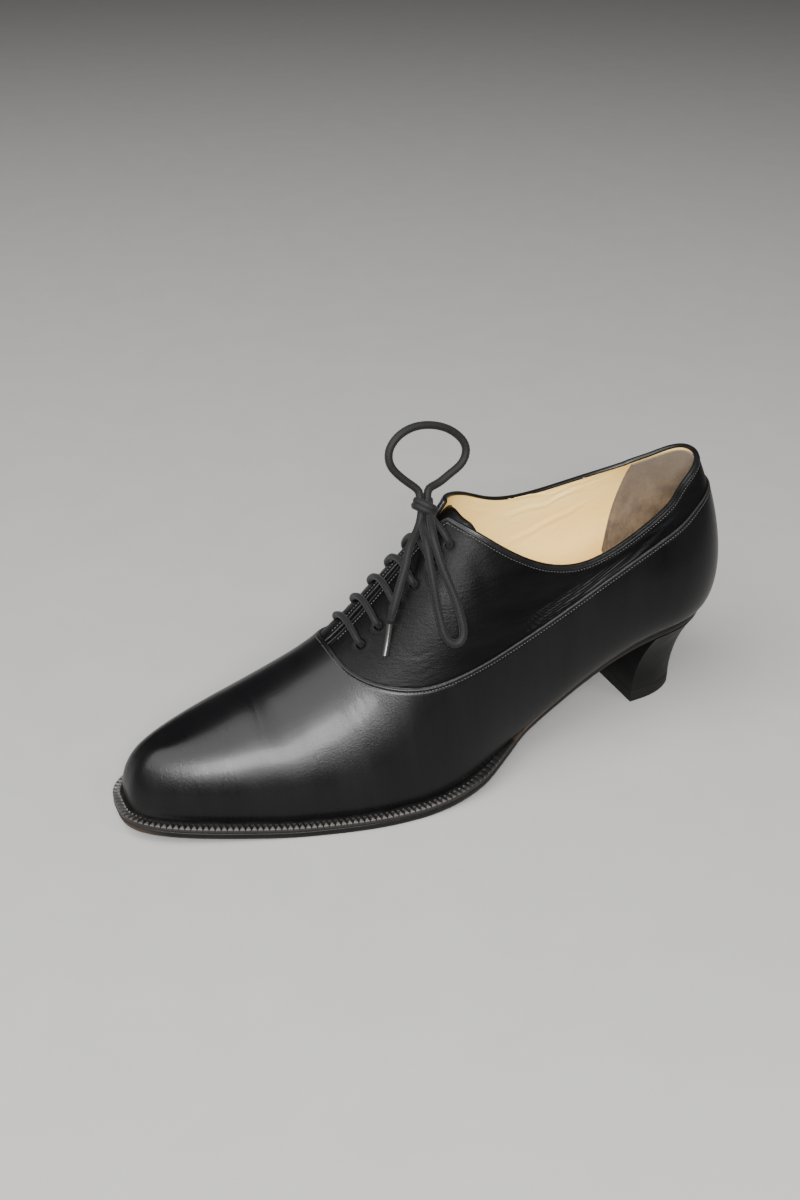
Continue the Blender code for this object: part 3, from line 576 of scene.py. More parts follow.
def start_material(name: str) -> tuple[bpy.types.Material, bpy.types.NodeTree, bpy.types.NodeSocket]:
    """Start a material; return it with its tree and the place on the object."""
    made = bpy.data.materials.new(name)
    made.use_nodes = True
    return made, made.node_tree, add_node(made.node_tree, "ShaderNodeTexCoord").outputs["Object"]


COLOUR_A, COLOUR_B, COLOUR_OUT = 6, 7, 2     # numbers of a mix node's colour sockets
SHADER = "Principled BSDF"


@dataclass(frozen=True)
class Leather:
    """A leather: grain, patches of tone, and a second colour laid where the mesh's layer marks real rubbing
    and painted highlights.
    """

    name: str
    colour: str
    shade: str                   # colour of the patches
    worn: str                    # colour of rubbed places and of painted highlights
    grain: float                 # width of one pebble of the grain, mm
    relief: float                # depth of the grain, mm
    patch: float                 # size of the patches of tone, mm
    roughness: tuple[float, float]
    coat: float = 0.0
    coat_roughness: float = 0.2
    gleam: float = 0.5           # level of the clear reflection; 0.5 is that of a plain varnish
    sheen: float = 0.0
    worn_roughness: float = 0.7
    drawn: tuple[float, float, float] = (1.0, 1.0, 1.0)   # how far x, y and z draw out patches and wrinkles
    wrinkle: tuple[float, float] = (1.5, 0.0)             # width and depth of the fine wrinkles, mm

    def material(self) -> bpy.types.Material:
        """Make the material."""
        made, tree, where = start_material(self.name)
        drawn = add_node(tree, "ShaderNodeVectorMath", {0: where, 1: tuple(1 / k for k in self.drawn)},
                         operation="MULTIPLY").outputs["Vector"]
        patch = add_node(tree, "ShaderNodeTexNoise", {
            "Vector": drawn, "Scale": 1 / (self.patch * MM), "Detail": 5.0, "Roughness": 0.62}).outputs["Fac"]
        wrinkles = add_node(tree, "ShaderNodeTexNoise", {
            "Vector": drawn, "Scale": 1 / (self.wrinkle[0] * MM), "Detail": 2.0,
            "Distortion": 0.4}).outputs["Fac"]
        pebble = add_node(tree, "ShaderNodeTexVoronoi", {
            "Vector": where, "Scale": 1 / (self.grain * MM), "Smoothness": 0.35},
            feature="SMOOTH_F1").outputs["Distance"]
        pores = add_node(tree, "ShaderNodeTexNoise", {
            "Vector": where, "Scale": 2.4 / (self.grain * MM), "Detail": 3.0,
            "Roughness": 0.6}).outputs["Fac"]
        # The mesh's layer marks rubbed places and painted highlights alike; both take the second colour and
        # its roughness.
        worn = add_node(tree, "ShaderNodeAttribute", attribute_name="wear").outputs["Fac"]
        blotch = add_node(tree, "ShaderNodeMapRange", {
            "Value": patch, "From Min": 0.36, "From Max": 0.64}).outputs["Result"]
        rubbed_and_highlit = add_node(tree, "ShaderNodeMath", {0: worn, 1: add_node(tree, "ShaderNodeMapRange", {
            "Value": pores, "From Min": 0.3, "From Max": 0.62, "To Min": 0.35}).outputs["Result"]},
            operation="MULTIPLY").outputs["Value"]
        tone = add_node(tree, "ShaderNodeMix", {
            0: blotch, COLOUR_A: linear(self.colour), COLOUR_B: linear(self.shade)}, data_type="RGBA")
        colour = add_node(tree, "ShaderNodeMix", {
            0: rubbed_and_highlit, COLOUR_A: tone.outputs[COLOUR_OUT], COLOUR_B: linear(self.worn)}, data_type="RGBA")
        sheen_of = add_node(tree, "ShaderNodeMapRange", {
            "Value": patch, "From Min": 0.3, "From Max": 0.7,
            "To Min": self.roughness[0], "To Max": self.roughness[1]}).outputs["Result"]
        rough = add_node(tree, "ShaderNodeMix", {0: rubbed_and_highlit, 2: sheen_of, 3: self.worn_roughness})
        height = add_node(tree, "ShaderNodeMath", {0: pebble, 1: 0.7, 2: pores}, operation="MULTIPLY_ADD")
        folds = add_node(tree, "ShaderNodeBump", {
            "Height": wrinkles, "Distance": self.wrinkle[1] * MM, "Strength": 1.0})
        bump = add_node(tree, "ShaderNodeBump", {
            "Height": height.outputs["Value"], "Distance": self.relief * MM, "Strength": 1.0,
            "Normal": folds.outputs["Normal"]})
        feed(tree, tree.nodes[SHADER], {
            "Base Color": colour.outputs[COLOUR_OUT], "Roughness": rough.outputs[0],
            "Normal": bump.outputs["Normal"], "Specular IOR Level": self.gleam, "Coat Weight": self.coat,
            "Coat Roughness": self.coat_roughness, "Sheen Weight": self.sheen})
        return made


@dataclass(frozen=True)
class Plain:
    """A yarn, rubber or plastic: a speckled colour and a fine rough or fibrous surface."""

    name: str
    colour: str
    fleck: str
    grit: float                  # size of the flecks, mm
    relief: float                # depth of the surface, mm
    roughness: float
    sheen: float = 0.0
    coat: float = 0.0
    gleam: float = 0.5

    def material(self) -> bpy.types.Material:
        """Make the material."""
        made, tree, where = start_material(self.name)
        speck = add_node(tree, "ShaderNodeTexNoise", {
            "Vector": where, "Scale": 1 / (self.grit * MM), "Detail": 4.0, "Roughness": 0.65}).outputs["Fac"]
        share = add_node(tree, "ShaderNodeMapRange", {
            "Value": speck, "From Min": 0.38, "From Max": 0.66}).outputs["Result"]
        colour = add_node(tree, "ShaderNodeMix", {
            0: share, COLOUR_A: linear(self.colour), COLOUR_B: linear(self.fleck)}, data_type="RGBA")
        rough = add_node(tree, "ShaderNodeMapRange", {
            "Value": speck, "To Min": self.roughness - 0.08, "To Max": self.roughness + 0.08})
        bump = add_node(tree, "ShaderNodeBump", {
            "Height": speck, "Distance": self.relief * MM, "Strength": 1.0})
        feed(tree, tree.nodes[SHADER], {
            "Base Color": colour.outputs[COLOUR_OUT], "Roughness": rough.outputs["Result"],
            "Normal": bump.outputs["Normal"], "Specular IOR Level": self.gleam, "Sheen Weight": self.sheen,
            "Coat Weight": self.coat})
        return made


# Box calf, glazed and polished: near black, tight pores drawn coarser than life to show, a soft bright gleam;
# its second colour paints the highlight along the vamp's folded edge and the scuff at the toe
CALF = Leather("polished_box_calf", "#060607", "#0a0a0b", "#484644", 0.6, 0.04, 14.0, (0.26, 0.36),
               coat=0.05, coat_roughness=0.14, gleam=0.18, drawn=(1.0, 5.0, 5.0), wrinkle=(1.3, 0.035))
# Milled calf, lightly creamed: the same black, a fine drawn grain that breaks up the gleam; its second colour
# is a painted highlight on the crests of the fine folds over the seam, where they are also rubbed
GRAIN = Leather("milled_calf", "#050506", "#090909", "#4c4b4a", 0.55, 0.05, 11.0, (0.32, 0.46),
                gleam=0.08, worn_roughness=0.4, drawn=(4.0, 2.6, 1.0), wrinkle=(0.9, 0.1))
# Folded calf edge, waxed hard: smoother and brighter along its roll
EDGE = Leather("waxed_calf_edge", "#0a0a0b", "#121212", "#3a3836", 0.6, 0.012, 6.0, (0.28, 0.36),
               coat=0.05, gleam=0.22)
# The calf that covers the heel, scuffed dull
COVER = Leather("heel_cover_calf", "#060606", "#0a0a0a", "#2c2a28", 0.6, 0.02, 9.0, (0.42, 0.54), gleam=0.12)
# Vegetable tanned lining, left undyed and polished by the foot: warm cream with a soft gleam
LINING = Leather("undyed_lining_leather", "#ffe190", "#fad47f", "#bd945a", 0.9, 0.03, 18.0, (0.44, 0.6),
                 gleam=0.3, drawn=(3.0, 2.0, 1.0), wrinkle=(1.2, 0.10))
# Split suede heel grip, rubbed by the foot: grey brown, no gleam, a nap brushed into streaks
SUEDE = Leather("suede_heel_grip", "#6d604f", "#4b4137", "#665d50", 0.5, 0.10, 5.0, (0.9, 0.98),
                gleam=0.1, sheen=0.2, worn_roughness=0.95, drawn=(1.0, 3.5, 1.6), wrinkle=(0.9, 0.25))
# Dyed and burnished sole leather: black edge with a dull gleam, brown fibre where it is rubbed, and the same
# colour as a painted highlight along the top of the edge at the waist
SOLE = Leather("burnished_sole_leather", "#080706", "#0f0d0c", "#41362c", 0.8, 0.04, 5.0, (0.38, 0.52),
               coat_roughness=0.3, gleam=0.2)
# The same leather wheeled with a hot iron: black in the notches; the tops of the teeth get a paler grey,
# partly burnish and partly a painted highlight
WHEELED = Leather("wheeled_welt_leather", "#080707", "#0f0e0d", "#585451", 0.8, 0.02, 5.0, (0.34, 0.46),
                  coat_roughness=0.3, gleam=0.35, worn_roughness=0.38)
# Sole leather underside, dyed and walked on: dull and scratched
TREAD = Leather("worn_sole_leather", "#120f0d", "#241d18", "#40342a", 1.4, 0.12, 9.0, (0.6, 0.8), gleam=0.2)
# Moulded heel rubber: dull, slightly grey
RUBBER = Plain("moulded_heel_rubber", "#0c0c0c", "#131313", 0.9, 0.04, 0.62, gleam=0.2)
# Braided cotton lace, waxed: dark grey with a dull fibre and a faint bloom
COTTON = Plain("waxed_braided_cotton", "#0a0a0b", "#151514", 0.5, 0.08, 0.66, sheen=0.05, gleam=0.2)
# Shrunk plastic lace tag: smooth, dark and glossy
TAG = Plain("shrunk_plastic_tag", "#222221", "#2b2b2a", 2.5, 0.01, 0.32, coat=0.2)
# Twisted polyester thread: dark grey with a faint lustre
THREAD = Plain("twisted_polyester_thread", "#252423", "#3c3b39", 0.3, 0.02, 0.4)
# Matt painted board: reads as a pale floor under the lamps
BOARD = Plain("matt_painted_board", "#949391", "#969593", 30.0, 0.02, 0.8, gleam=0.2)


class Draft:
    """Collects grids of points and the faces over them, in millimetres."""

    def __init__(self) -> None:
        """Start with nothing."""
        self.points: list[Array] = []
        self.faces: list[Array] = []
        self.count = 0

    def add(self, points: Array) -> Array:
        """Add points and return their numbers in the same grid."""
        points = np.asarray(points, float)
        numbers = np.arange(self.count, self.count + points[..., 0].size).reshape(points.shape[:-1])
        self.points.append(points.reshape(-1, 3))
        self.count += numbers.size
        return numbers

    def skin(self, grid: Array, closed: bool = False) -> None:
        """Cover a grid of columns and rows; closed joins the last column to the first."""
        following = np.roll(grid, -1, axis=0) if closed else grid[1:]
        column = grid if closed else grid[:-1]
        quads = np.stack([column[:, :-1], following[:, :-1], following[:, 1:], column[:, 1:]], -1)
        self.faces.append(quads.reshape(-1, 4))

    def strip(self, low: Array, high: Array, closed: bool = False) -> None:
        """Join two rows of points."""
        self.skin(np.stack([low, high], -1), closed)

    def leaf(self, front: Array, back: Array) -> None:
        """Add a sheet: two grids of points, joined along all four edges."""
        front, back = self.add(front), self.add(back)
        for grid in (front, back):
            self.skin(grid)
        for row in (0, -1):
            self.strip(front[:, row], back[:, row])
            self.strip(front[row], back[row])

    def close(self, ring: Array) -> None:
        """Close a ring of an even count of points by faces between its halves."""
        half = len(ring) // 2
        back = ring[::-1]
        self.faces.append(np.stack([ring[:half - 1], ring[1:half], back[1:half], back[:half - 1]], -1))

    def cap(self, loop: Array, dish: float = 0.0, across: int = 12) -> None:
        """Close an outline loop with strips from its outer to its inner side.

        Args:
            loop: the loop's numbers, from the back along the outer side to the toe and back along the inner.
            dish: how far the middle lies below the edge.
            across: faces in each strip.
        """
        every = np.concatenate(self.points)
        half = len(loop) // 2
        share = np.linspace(0, 1, across + 1)[:, None]
        rows = []
        for i in range(half + 1):
            first, last = every[loop[i]], every[loop[-i]]
            row = first + (last - first) * share
            width = min(1.0, np.linalg.norm(last - first) / 20)
            row[:, 2] -= dish * width * (4 * share[:, 0] * (1 - share[:, 0]))**0.8
            rows.append(row)
        self.skin(self.add(np.array(rows)))

    def piece(self, name: str, material: bpy.types.Material, merge: float = 0.004, sharp: float = 50.0,
              wear: Array | None = None) -> bpy.types.Object:
        """Make the mesh object in the row frame.

        Args:
            name: the piece's name.
            material: its finish.
            merge: points closer than this, in millimetres, become one.
            sharp: edges bent more than this, in degrees, stay sharp.
            wear: share of the second colour at each point, from 0 to 1, in the order that they were added; it
                marks real rubbing and painted highlights.

        Returns:
            The object.
        """
        mesh = bpy.data.meshes.new(name)
        points = (np.concatenate(self.points) - ORIGIN) * MM
        mesh.from_pydata(points.tolist(), [], np.concatenate(self.faces).tolist())
        if wear is not None:
            layer = mesh.attributes.new("wear", "FLOAT", "POINT")
            layer.data.foreach_set("value", np.clip(wear, 0, 1).astype(np.float32).ravel())
        draft = bmesh.new()
        draft.from_mesh(mesh)
        bmesh.ops.remove_doubles(draft, verts=draft.verts, dist=merge * MM)
        bmesh.ops.recalc_face_normals(draft, faces=draft.faces)
        draft.to_mesh(mesh)
        draft.free()
        mesh.shade_smooth()
        mesh.set_sharp_from_angle(angle=math.radians(sharp))
        mesh.materials.append(material)
        made = bpy.data.objects.new(name, mesh)
        bpy.context.scene.collection.objects.link(made)
        return made


def mesh_points(piece: bpy.types.Object) -> Array:
    """Return a piece's points in the shoe's own frame, in millimetres."""
    flat = np.empty(len(piece.data.vertices) * 3)
    piece.data.vertices.foreach_get("co", flat)
    return flat.reshape(-1, 3) / MM + ORIGIN


def set_wear_and_highlight(piece: bpy.types.Object, values: Array) -> None:
    """Store how far each point of a piece takes the second colour, from 0 to 1: real rubbing and painted
    highlights.
    """
    layer = piece.data.attributes.new("wear", "FLOAT", "POINT")
    layer.data.foreach_set("value", np.clip(values, 0, 1).astype(np.float32))


@dataclass
class Bench:
    """Makes the finishes once and enters each piece in the frame."""

    made: dict[str, bpy.types.Material] = field(default_factory=dict)

    def finish(self, kind: Leather | Plain) -> bpy.types.Material:
        """Return a finish's material."""
        if kind.name not in self.made:
            self.made[kind.name] = kind.material()
        return self.made[kind.name]

    def enter(self, piece: bpy.types.Object, slot: str, *nodes: str) -> bpy.types.Object:
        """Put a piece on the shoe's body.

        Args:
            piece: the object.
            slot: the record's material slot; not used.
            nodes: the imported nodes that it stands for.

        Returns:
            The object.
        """
        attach(piece, "root")
        if nodes:
            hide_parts(*nodes)
        LOG.info("%s: %d faces", piece.name, len(piece.data.polygons))
        return piece


def gap_to(points: Array, line: Array) -> Array:
    """Return each point's distance to the nearest place of a dense line."""
    flat = points.reshape(-1, 3)
    nearest = [np.linalg.norm(part[:, None] - line[None], axis=-1).min(axis=1)
               for part in np.array_split(flat, max(1, len(flat) // 2000))]
    return np.concatenate(nearest).reshape(points.shape[:-1])


def rolled(distance: Array, radius: float) -> Array:
    """Return how far a rounded edge falls away at a distance from it."""
    inside = np.clip(radius - distance, 0, radius)
    return radius - np.sqrt(radius**2 - inside**2)


@dataclass
class Round:
    """Columns right round the shoe, whose two sides meet on the ridge ahead of the throat."""

    loop: Loop
    toe: int                     # number of the toe's column
    throat: int                  # and of the throat's, on the outer side

    def __post_init__(self) -> None:
        """List the columns ahead of the throat, those across from them, and the rest in order."""
        count = len(self.loop.x)
        self.ahead = np.arange(self.throat, count - self.throat + 1)
        self.across = 2 * self.toe - self.ahead
        behind = np.setdiff1d(np.arange(count), self.ahead)
        self.behind = np.concatenate([behind[behind > self.toe], behind[behind < self.toe]])

    def surface(self, last: Last, angle: Array) -> tuple[Array, Array]:
        """Return points and outward directions, level at the feather line and agreeing on the ridge."""
        points, normal = last.surface(self.loop, angle, True)
        normal[self.ahead, -1] = unit(normal[self.ahead, -2] + normal[self.across, -2])
        normal[:, 0] = unit(normal[:, 0] * (1, 1, 0))
        return points, normal

    def shell(self, outer: Array, inner: Array) -> Draft:
        """Return a closed wall between two grids, with an opening behind the throat."""
        for skin in (outer, inner):
            skin[self.across, -1] = skin[np.minimum(self.ahead, self.across), -1]
        draft = Draft()
        outside, inside = draft.add(outer), draft.add(inner)
        draft.skin(outside, True)
        draft.skin(inside, True)
        draft.strip(outside[:, 0], inside[:, 0], True)
        draft.strip(outside[self.behind, -1], inside[self.behind, -1])
        return draft


VAMP_CREASES = (
    Crease(((199.0, -0.30), (199.6, 0.18), (200.4, 0.37), (199.9, 0.44), (198.3, 0.52), (197.6, 0.62)),
           0.7, 0.035),
    Crease(((194.0, -0.35), (193.0, 0.10), (191.5, 0.40), (189.0, 0.66)), 6.0, 0.45),
    Crease(((203.0, -0.55), (201.5, -0.36), (200.0, -0.20)), 0.9, 0.03),
    Crease(((161.0, 0.24), (159.0, 0.42), (158.0, 0.55), (159.5, 0.70)), 4.6, 0.14),
    Crease(((160.0, -0.26), (159.0, -0.45), (160.0, -0.66)), 4.4, 0.14),
    Crease(((171.0, 0.30), (166.8, 0.42), (164.6, 0.52), (163.8, 0.62)), 0.7, 0.02),
    Crease(((174.5, 0.32), (170.4, 0.44), (168.2, 0.54), (167.8, 0.62)), 0.7, 0.018),
    Crease(((168.0, 0.28), (163.6, 0.40), (161.4, 0.52), (160.6, 0.64)), 0.75, 0.022),
    Crease(((179.0, 0.34), (175.2, 0.46), (173.4, 0.56)), 0.7, 0.015),
    Crease(((170.0, -0.32), (166.0, -0.46), (164.5, -0.60)), 0.8, 0.03),
    Crease(((174.0, -0.34), (170.2, -0.48), (169.0, -0.60)), 0.7, 0.025),
)
QUARTER_CREASES = tuple(
    Crease(((92.0 - 3 * k, 0.672 - 0.024 * k), (74.0 - 2.5 * k, 0.655 - 0.023 * k),
            (52.0 - 2 * k, 0.606 - 0.02 * k), (36.0 - 2 * k, 0.53 - 0.015 * k)),
           0.8 + 0.1 * (k % 2), 0.55 - 0.05 * k) for k in range(6)
) + tuple(
    Crease(((84.0 - 2 * k, -0.70 + 0.018 * k), (62.0, -0.68 + 0.017 * k), (40.0, -0.60 + 0.014 * k)),
           0.7, 0.4 - 0.05 * k) for k in range(5)
) + (
    Crease(((132.0, 0.30), (129.0, 0.40), (128.0, 0.52)), 2.6, 0.15),
    Crease(((117.0, 0.28), (113.0, 0.40), (112.0, 0.52)), 3.0, 0.2),
    Crease(((148.0, 0.36), (141.0, 0.42), (134.0, 0.45)), 0.8, 0.07),
    Crease(((150.0, 0.42), (142.0, 0.48), (133.0, 0.50)), 0.7, 0.06),
)
LINING_CREASES = (
    Crease(((96.0, -0.55), (80.0, -0.67), (60.0, -0.69), (37.0, -0.58), (28.0, -0.49)), 0.75, -0.40),
    Crease(((92.0, -0.52), (78.0, -0.62), (58.0, -0.65), (36.0, -0.55)), 0.65, -0.32),
    Crease(((74.0, -0.64), (56.0, -0.67), (38.0, -0.61), (29.0, -0.53)), 0.6, -0.28),
    Crease(((56.0, -0.61), (44.0, -0.59), (32.0, -0.50)), 0.55, -0.22),
    Crease(((52.0, -0.58), (42.0, -0.56), (31.0, -0.47)), 0.5, -0.18),
    Crease(((84.0, -0.76), (66.0, -0.77), (48.0, -0.74), (34.0, -0.66)), 1.2, -0.32),
    Crease(((104.0, -0.42), (97.0, -0.50), (90.0, -0.57)), 0.7, -0.28),
    Crease(((102.0, -0.46), (95.0, -0.55), (86.0, -0.62)), 0.7, -0.24),
    Crease(((88.0, 0.62), (70.0, 0.68), (50.0, 0.64)), 1.0, -0.25),
)


@dataclass
class Upper:
    """The closed upper: vamp with foxing, quarters with facings, binding, lining and heel grip."""

    last: Last
    bench: Bench
    wall: float = 2.4            # thickness of the upper with its lining
    step: float = 0.8            # the quarters lie this far below the vamp's face
    hide: float = 0.85           # thickness of one leather
    eyelets: int = 6             # on a side
    eyelet_first: float = 158.3  # station of the one at the throat
    eyelet_pitch: float = 7.18
    eyelet_inset: float = 11.8   # from the ridge
    eyelet_radius: float = 1.8
    eyelet_rim: Bead = Bead(0.2, 2.75, 0.6)
    eyelet_dip: Bead = Bead(-0.4, 0.0, 2.0)
    vamp_bead: Bead = Bead(0.14, 0.95, 0.4)
    vamp_groove: Bead = Bead(-0.16, 1.75, 0.3)    # for the stitch row below the vamp's edge
    top_groove: Bead = Bead(-0.18, 2.35, 0.3)     # for the one below the top edge
    edge_rub_and_highlight: Bead = Bead(0.42, 0.28, 0.18)       # how much paler the vamp's folded edge is painted: some rubbing and a painted highlight along its roll
    vamp_roll: float = 0.7       # rounding of the vamp's edge
    top_roll: float = 0.55       # and of the quarters'
    quarter: float = 0.78        # thickness of the quarters below the step
    tuck: float = 3.0            # the quarters reach this far under the vamp
    edge_step: float = 0.4       # spacing of the places on an edge that distances are taken to
    lining_short: float = 2.6    # the lining stops this far from the ridge along the facings
    fold_band: tuple[float, float, float, float] = (44.0, 60.0, 70.0, 104.0)   # the fine folds rise and fade
    fold_pitch: float = 1.15     # spacing of the fine folds over the seam
    fold_relief: float = 0.07
    # how much paler the fold crests are painted: rubbing and a painted highlight
    fold_wear_and_highlight: float = 0.8
    grip_sunk: float = 0.1       # the heel grip's back lies this far in the lining
    grip_thick: float = 0.7
    grip_top: float = 24.0       # the heel grip's front edge slants from here at the top
    grip_foot: float = 28.2      # to here at its foot
    near_edge: tuple[float, ...] = (2.9, 2.5, 2.1, 1.8, 1.5, 1.2, 0.95, 0.75, 0.55, 0.38, 0.22, 0.1,
                                    0.03, 0.0)     # close rows below an edge

    def behind(self) -> Loop:
        """Return the columns behind the throat: inner side, back, outer side."""
        return round_back(np.unique(np.concatenate([
            self.last.stations(self.last.back, THROAT, 220), NEAR_THROAT])))

    def eyelet_x(self, number: int) -> float:
        """Return an eyelet's station, counted from the throat."""
        return self.eyelet_first - self.eyelet_pitch * number

    def eyelet(self, number: int, side: Side, lift: float) -> Array:
        """Return the place over an eyelet's middle."""
        return self.last.beside_ridge(self.eyelet_x(number), self.eyelet_inset, side.value, lift)

    def columns(self, behind: int, ahead: int) -> Round:
        """Return columns right round the shoe, by their count behind and ahead of the throat on a side."""
        last = self.last
        xs = np.unique(np.concatenate([last.stations(last.back, THROAT, behind), NEAR_THROAT,
                                       last.stations(THROAT, last.toe, ahead)]))
        return Round(last.loop(xs), len(xs) - 1, int(np.searchsorted(xs, AT_THROAT)))

    def vamp(self) -> bpy.types.Object:
        """Make the vamp and foxing, one leather with a folded and stitched top edge."""
        last = self.last
        columns = self.columns(170, 140)
        loop = columns.loop
        seam = loop.each(last.vamp_edge_angle)
        angle, distance = last.rows(loop, np.zeros_like(seam), seam, 58, self.near_edge)
        points, normal = columns.surface(last, angle)
        edge = even_route(points[columns.behind, -1], self.edge_step)
        close = (distance < 8) & np.isin(np.arange(len(loop.x)), columns.behind)[:, None]
        away = np.full(distance.shape, FAR)
        away[close] = gap_to(points[close], edge)
        height = last.folds(points, VAMP_CREASES) - rolled(away, self.vamp_roll)
        height += self.vamp_bead.over(away) + self.vamp_groove.over(away)
        draft = columns.shell(points + height[..., None] * normal, points - self.hide * normal)
        low = 1 - smooth_step(points[..., 2] - last.feather(points[..., 0]), 0.5, 5)
        toe_rub = 0.2 * smooth_step(points[..., 0], 226, 247) * low
        # The folded edge is painted paler as a highlight, with some rubbing; the low front of the toe gets a
        # rubbed scuff.
        wear = np.stack([np.maximum(self.edge_rub_and_highlight.over(away), toe_rub), 0 * away])
        piece = draft.piece("vamp", self.bench.finish(CALF), wear=wear)
        return self.bench.enter(piece, "upper_leather", "upper")

    def quarter_rows(self, loop: Loop) -> tuple[Array, Array, Array]:
        """Return the quarters' angles, distances from the top and heights above the seam."""
        last = self.last
        seam, top = loop.each(last.vamp_edge_angle), loop.each(last.topline_angle)
        top = np.where(loop.x >= AT_THROAT, seam, top)
        dense = seam[:, None] * np.linspace(0, 1, 121)
        points = loop.each(lambda x, side: last.point(x[:, None], dense, side))
        low = []
        for column, places in zip(dense, points):
            reach = path_length(places)
            low.append(np.interp(reach[-1] - self.tuck, reach, column))
        angle, distance = last.rows(loop, np.array(low), top, 60, self.near_edge)
        above = distance[:, :1] - distance - self.tuck
        return angle, distance, above

    def rubbed_and_highlit_folds(self, along: Array, above: Array) -> Array:
        """Return the fine folds that walking presses into the quarters over the seam, from 0 to 1; their
        crests also take a painted highlight.

        Args:
            along: stations.
            above: distances above the seam.

        Returns:
            1 on the crests of the folds and 0 away from them.
        """
        back, risen, fading, gone = self.fold_band
        spread = 0.1 * np.maximum(along - back, 0)
        band = smooth_step(along, back, risen) * (1 - smooth_step(along, fading, gone))
        band = band * smooth_step(above, 0.3, 1.0) * (1 - smooth_step(above - spread, 1.2, 3.4))
        wander = 2.1 * np.sin(along / 9) + 1.3 * np.sin(along / 5.3 + 1)
        crest = smooth_step(np.sin(math.tau * above / self.fold_pitch + wander), 0.3, 0.95)
        broken = 0.35 + 0.65 * smooth_step(np.sin(along / 2.7 + 1.9 * above), -0.4, 0.7)
        return band * crest * broken

    def quarters(self) -> bpy.types.Object:
        """Make the quarters, which run under the vamp's edge, with punched facings."""
        last = self.last
        loop = self.behind()
        angle, distance, above = self.quarter_rows(loop)
        points, normal = last.surface(loop, angle, False)
        edge = even_route(points[:, -1], self.edge_step)
        away = np.full(distance.shape, FAR)
        away[distance < 9] = gap_to(points[distance < 9], edge)
        height = last.folds(points, QUARTER_CREASES)
        rubbed_and_highlit = self.rubbed_and_highlit_folds(points[..., 0], above)
        height += self.fold_relief * rubbed_and_highlit
        for number in range(self.eyelets):
            for side in Side:
                gap = np.linalg.norm(points - self.eyelet(number, side, 0.0), axis=-1)
                height += self.eyelet_rim.over(gap) + self.eyelet_dip.over(gap)
        height += self.top_groove.over(away) - rolled(away, self.top_roll)
        height *= 0.001 + 0.999 * smooth_step(above, -0.5, 1.0) * smooth_step(THROAT - loop.x, 0, 2)[:, None]
        depth = self.step + 0.3 * (1 - smooth_step(above, -0.6, 0.1))
        draft = Draft()
        draft.leaf(points + (height - depth)[..., None] * normal,
                   points - (self.step + self.quarter) * normal)
        # The crests of the fine folds are painted paler: a painted highlight, with some rubbing.
        wear = np.stack([self.fold_wear_and_highlight * rubbed_and_highlit, 0 * rubbed_and_highlit])
        piece = draft.piece("quarters", self.bench.finish(GRAIN), wear=wear)
        self.punch(piece, self.eyelet_radius)
        return self.bench.enter(piece, "upper_leather", "upper")

    def punch(self, piece: bpy.types.Object, radius: float) -> None:
        """Cut the eyelets through a piece."""
        cutter = bmesh.new()
        for number in range(self.eyelets):
            for side in Side:
                x = self.eyelet_x(number)
                angle = self.last.angle_off_ridge(x, self.eyelet_inset, side.value)
                direction = Vector(self.last.normal(x, angle, side.value))
                place = Vector((self.eyelet(number, side, -self.wall / 2) - ORIGIN) * MM)
                turn = Matrix.Translation(place) @ direction.to_track_quat("Z", "X").to_matrix().to_4x4()
                bmesh.ops.create_cone(cutter, cap_ends=True, segments=24, radius1=radius * MM,
                                      radius2=radius * MM, depth=3 * self.wall * MM, matrix=turn)
        mesh = bpy.data.meshes.new("punch")
        cutter.to_mesh(mesh)
        cutter.free()
        tool = bpy.data.objects.new("punch", mesh)
        bpy.context.scene.collection.objects.link(tool)
        cut = piece.modifiers.new("eyelets", "BOOLEAN")
        cut.object, cut.operation, cut.solver = tool, "DIFFERENCE", "EXACT"
        bpy.context.view_layer.update()
        ready = piece.evaluated_get(bpy.context.evaluated_depsgraph_get())
        cut_mesh = bpy.data.meshes.new_from_object(ready)
        piece.modifiers.clear()
        old, piece.data = piece.data, cut_mesh
        cut_mesh.name = piece.name
        bpy.data.meshes.remove(old)
        bpy.data.objects.remove(tool)

    def edge(self, line: Callable[[Array, int], Array], step: float,
             past: float) -> tuple[Array, Array, Array]:
        """Return an edge as a path with the surface's direction and the way down the leather.

        Args:
            line: the edge's angle by station and side.
            step: spacing of the places.
            past: columns at stations beyond this are left out.

        Returns:
            Places, outward directions and downward directions.
        """
        last = self.last
        loop = self.behind()
        keep = loop.x < past
        loop = Loop(loop.x[keep], loop.side[keep])
        angle = loop.each(line)[:, None] - np.array([0.03, 0.015, 0.0])
        points, normal = last.surface(loop, angle, False)
        reach = path_length(points[:, -1])
        places = np.linspace(0, reach[-1], round(reach[-1] / step) + 1)
        path, out = (sampled(rows[:, -1], reach, places) for rows in (points, normal))
        out, along = unit(out), unit(np.gradient(path, axis=0))
        return path, out, unit(np.cross(out, along))

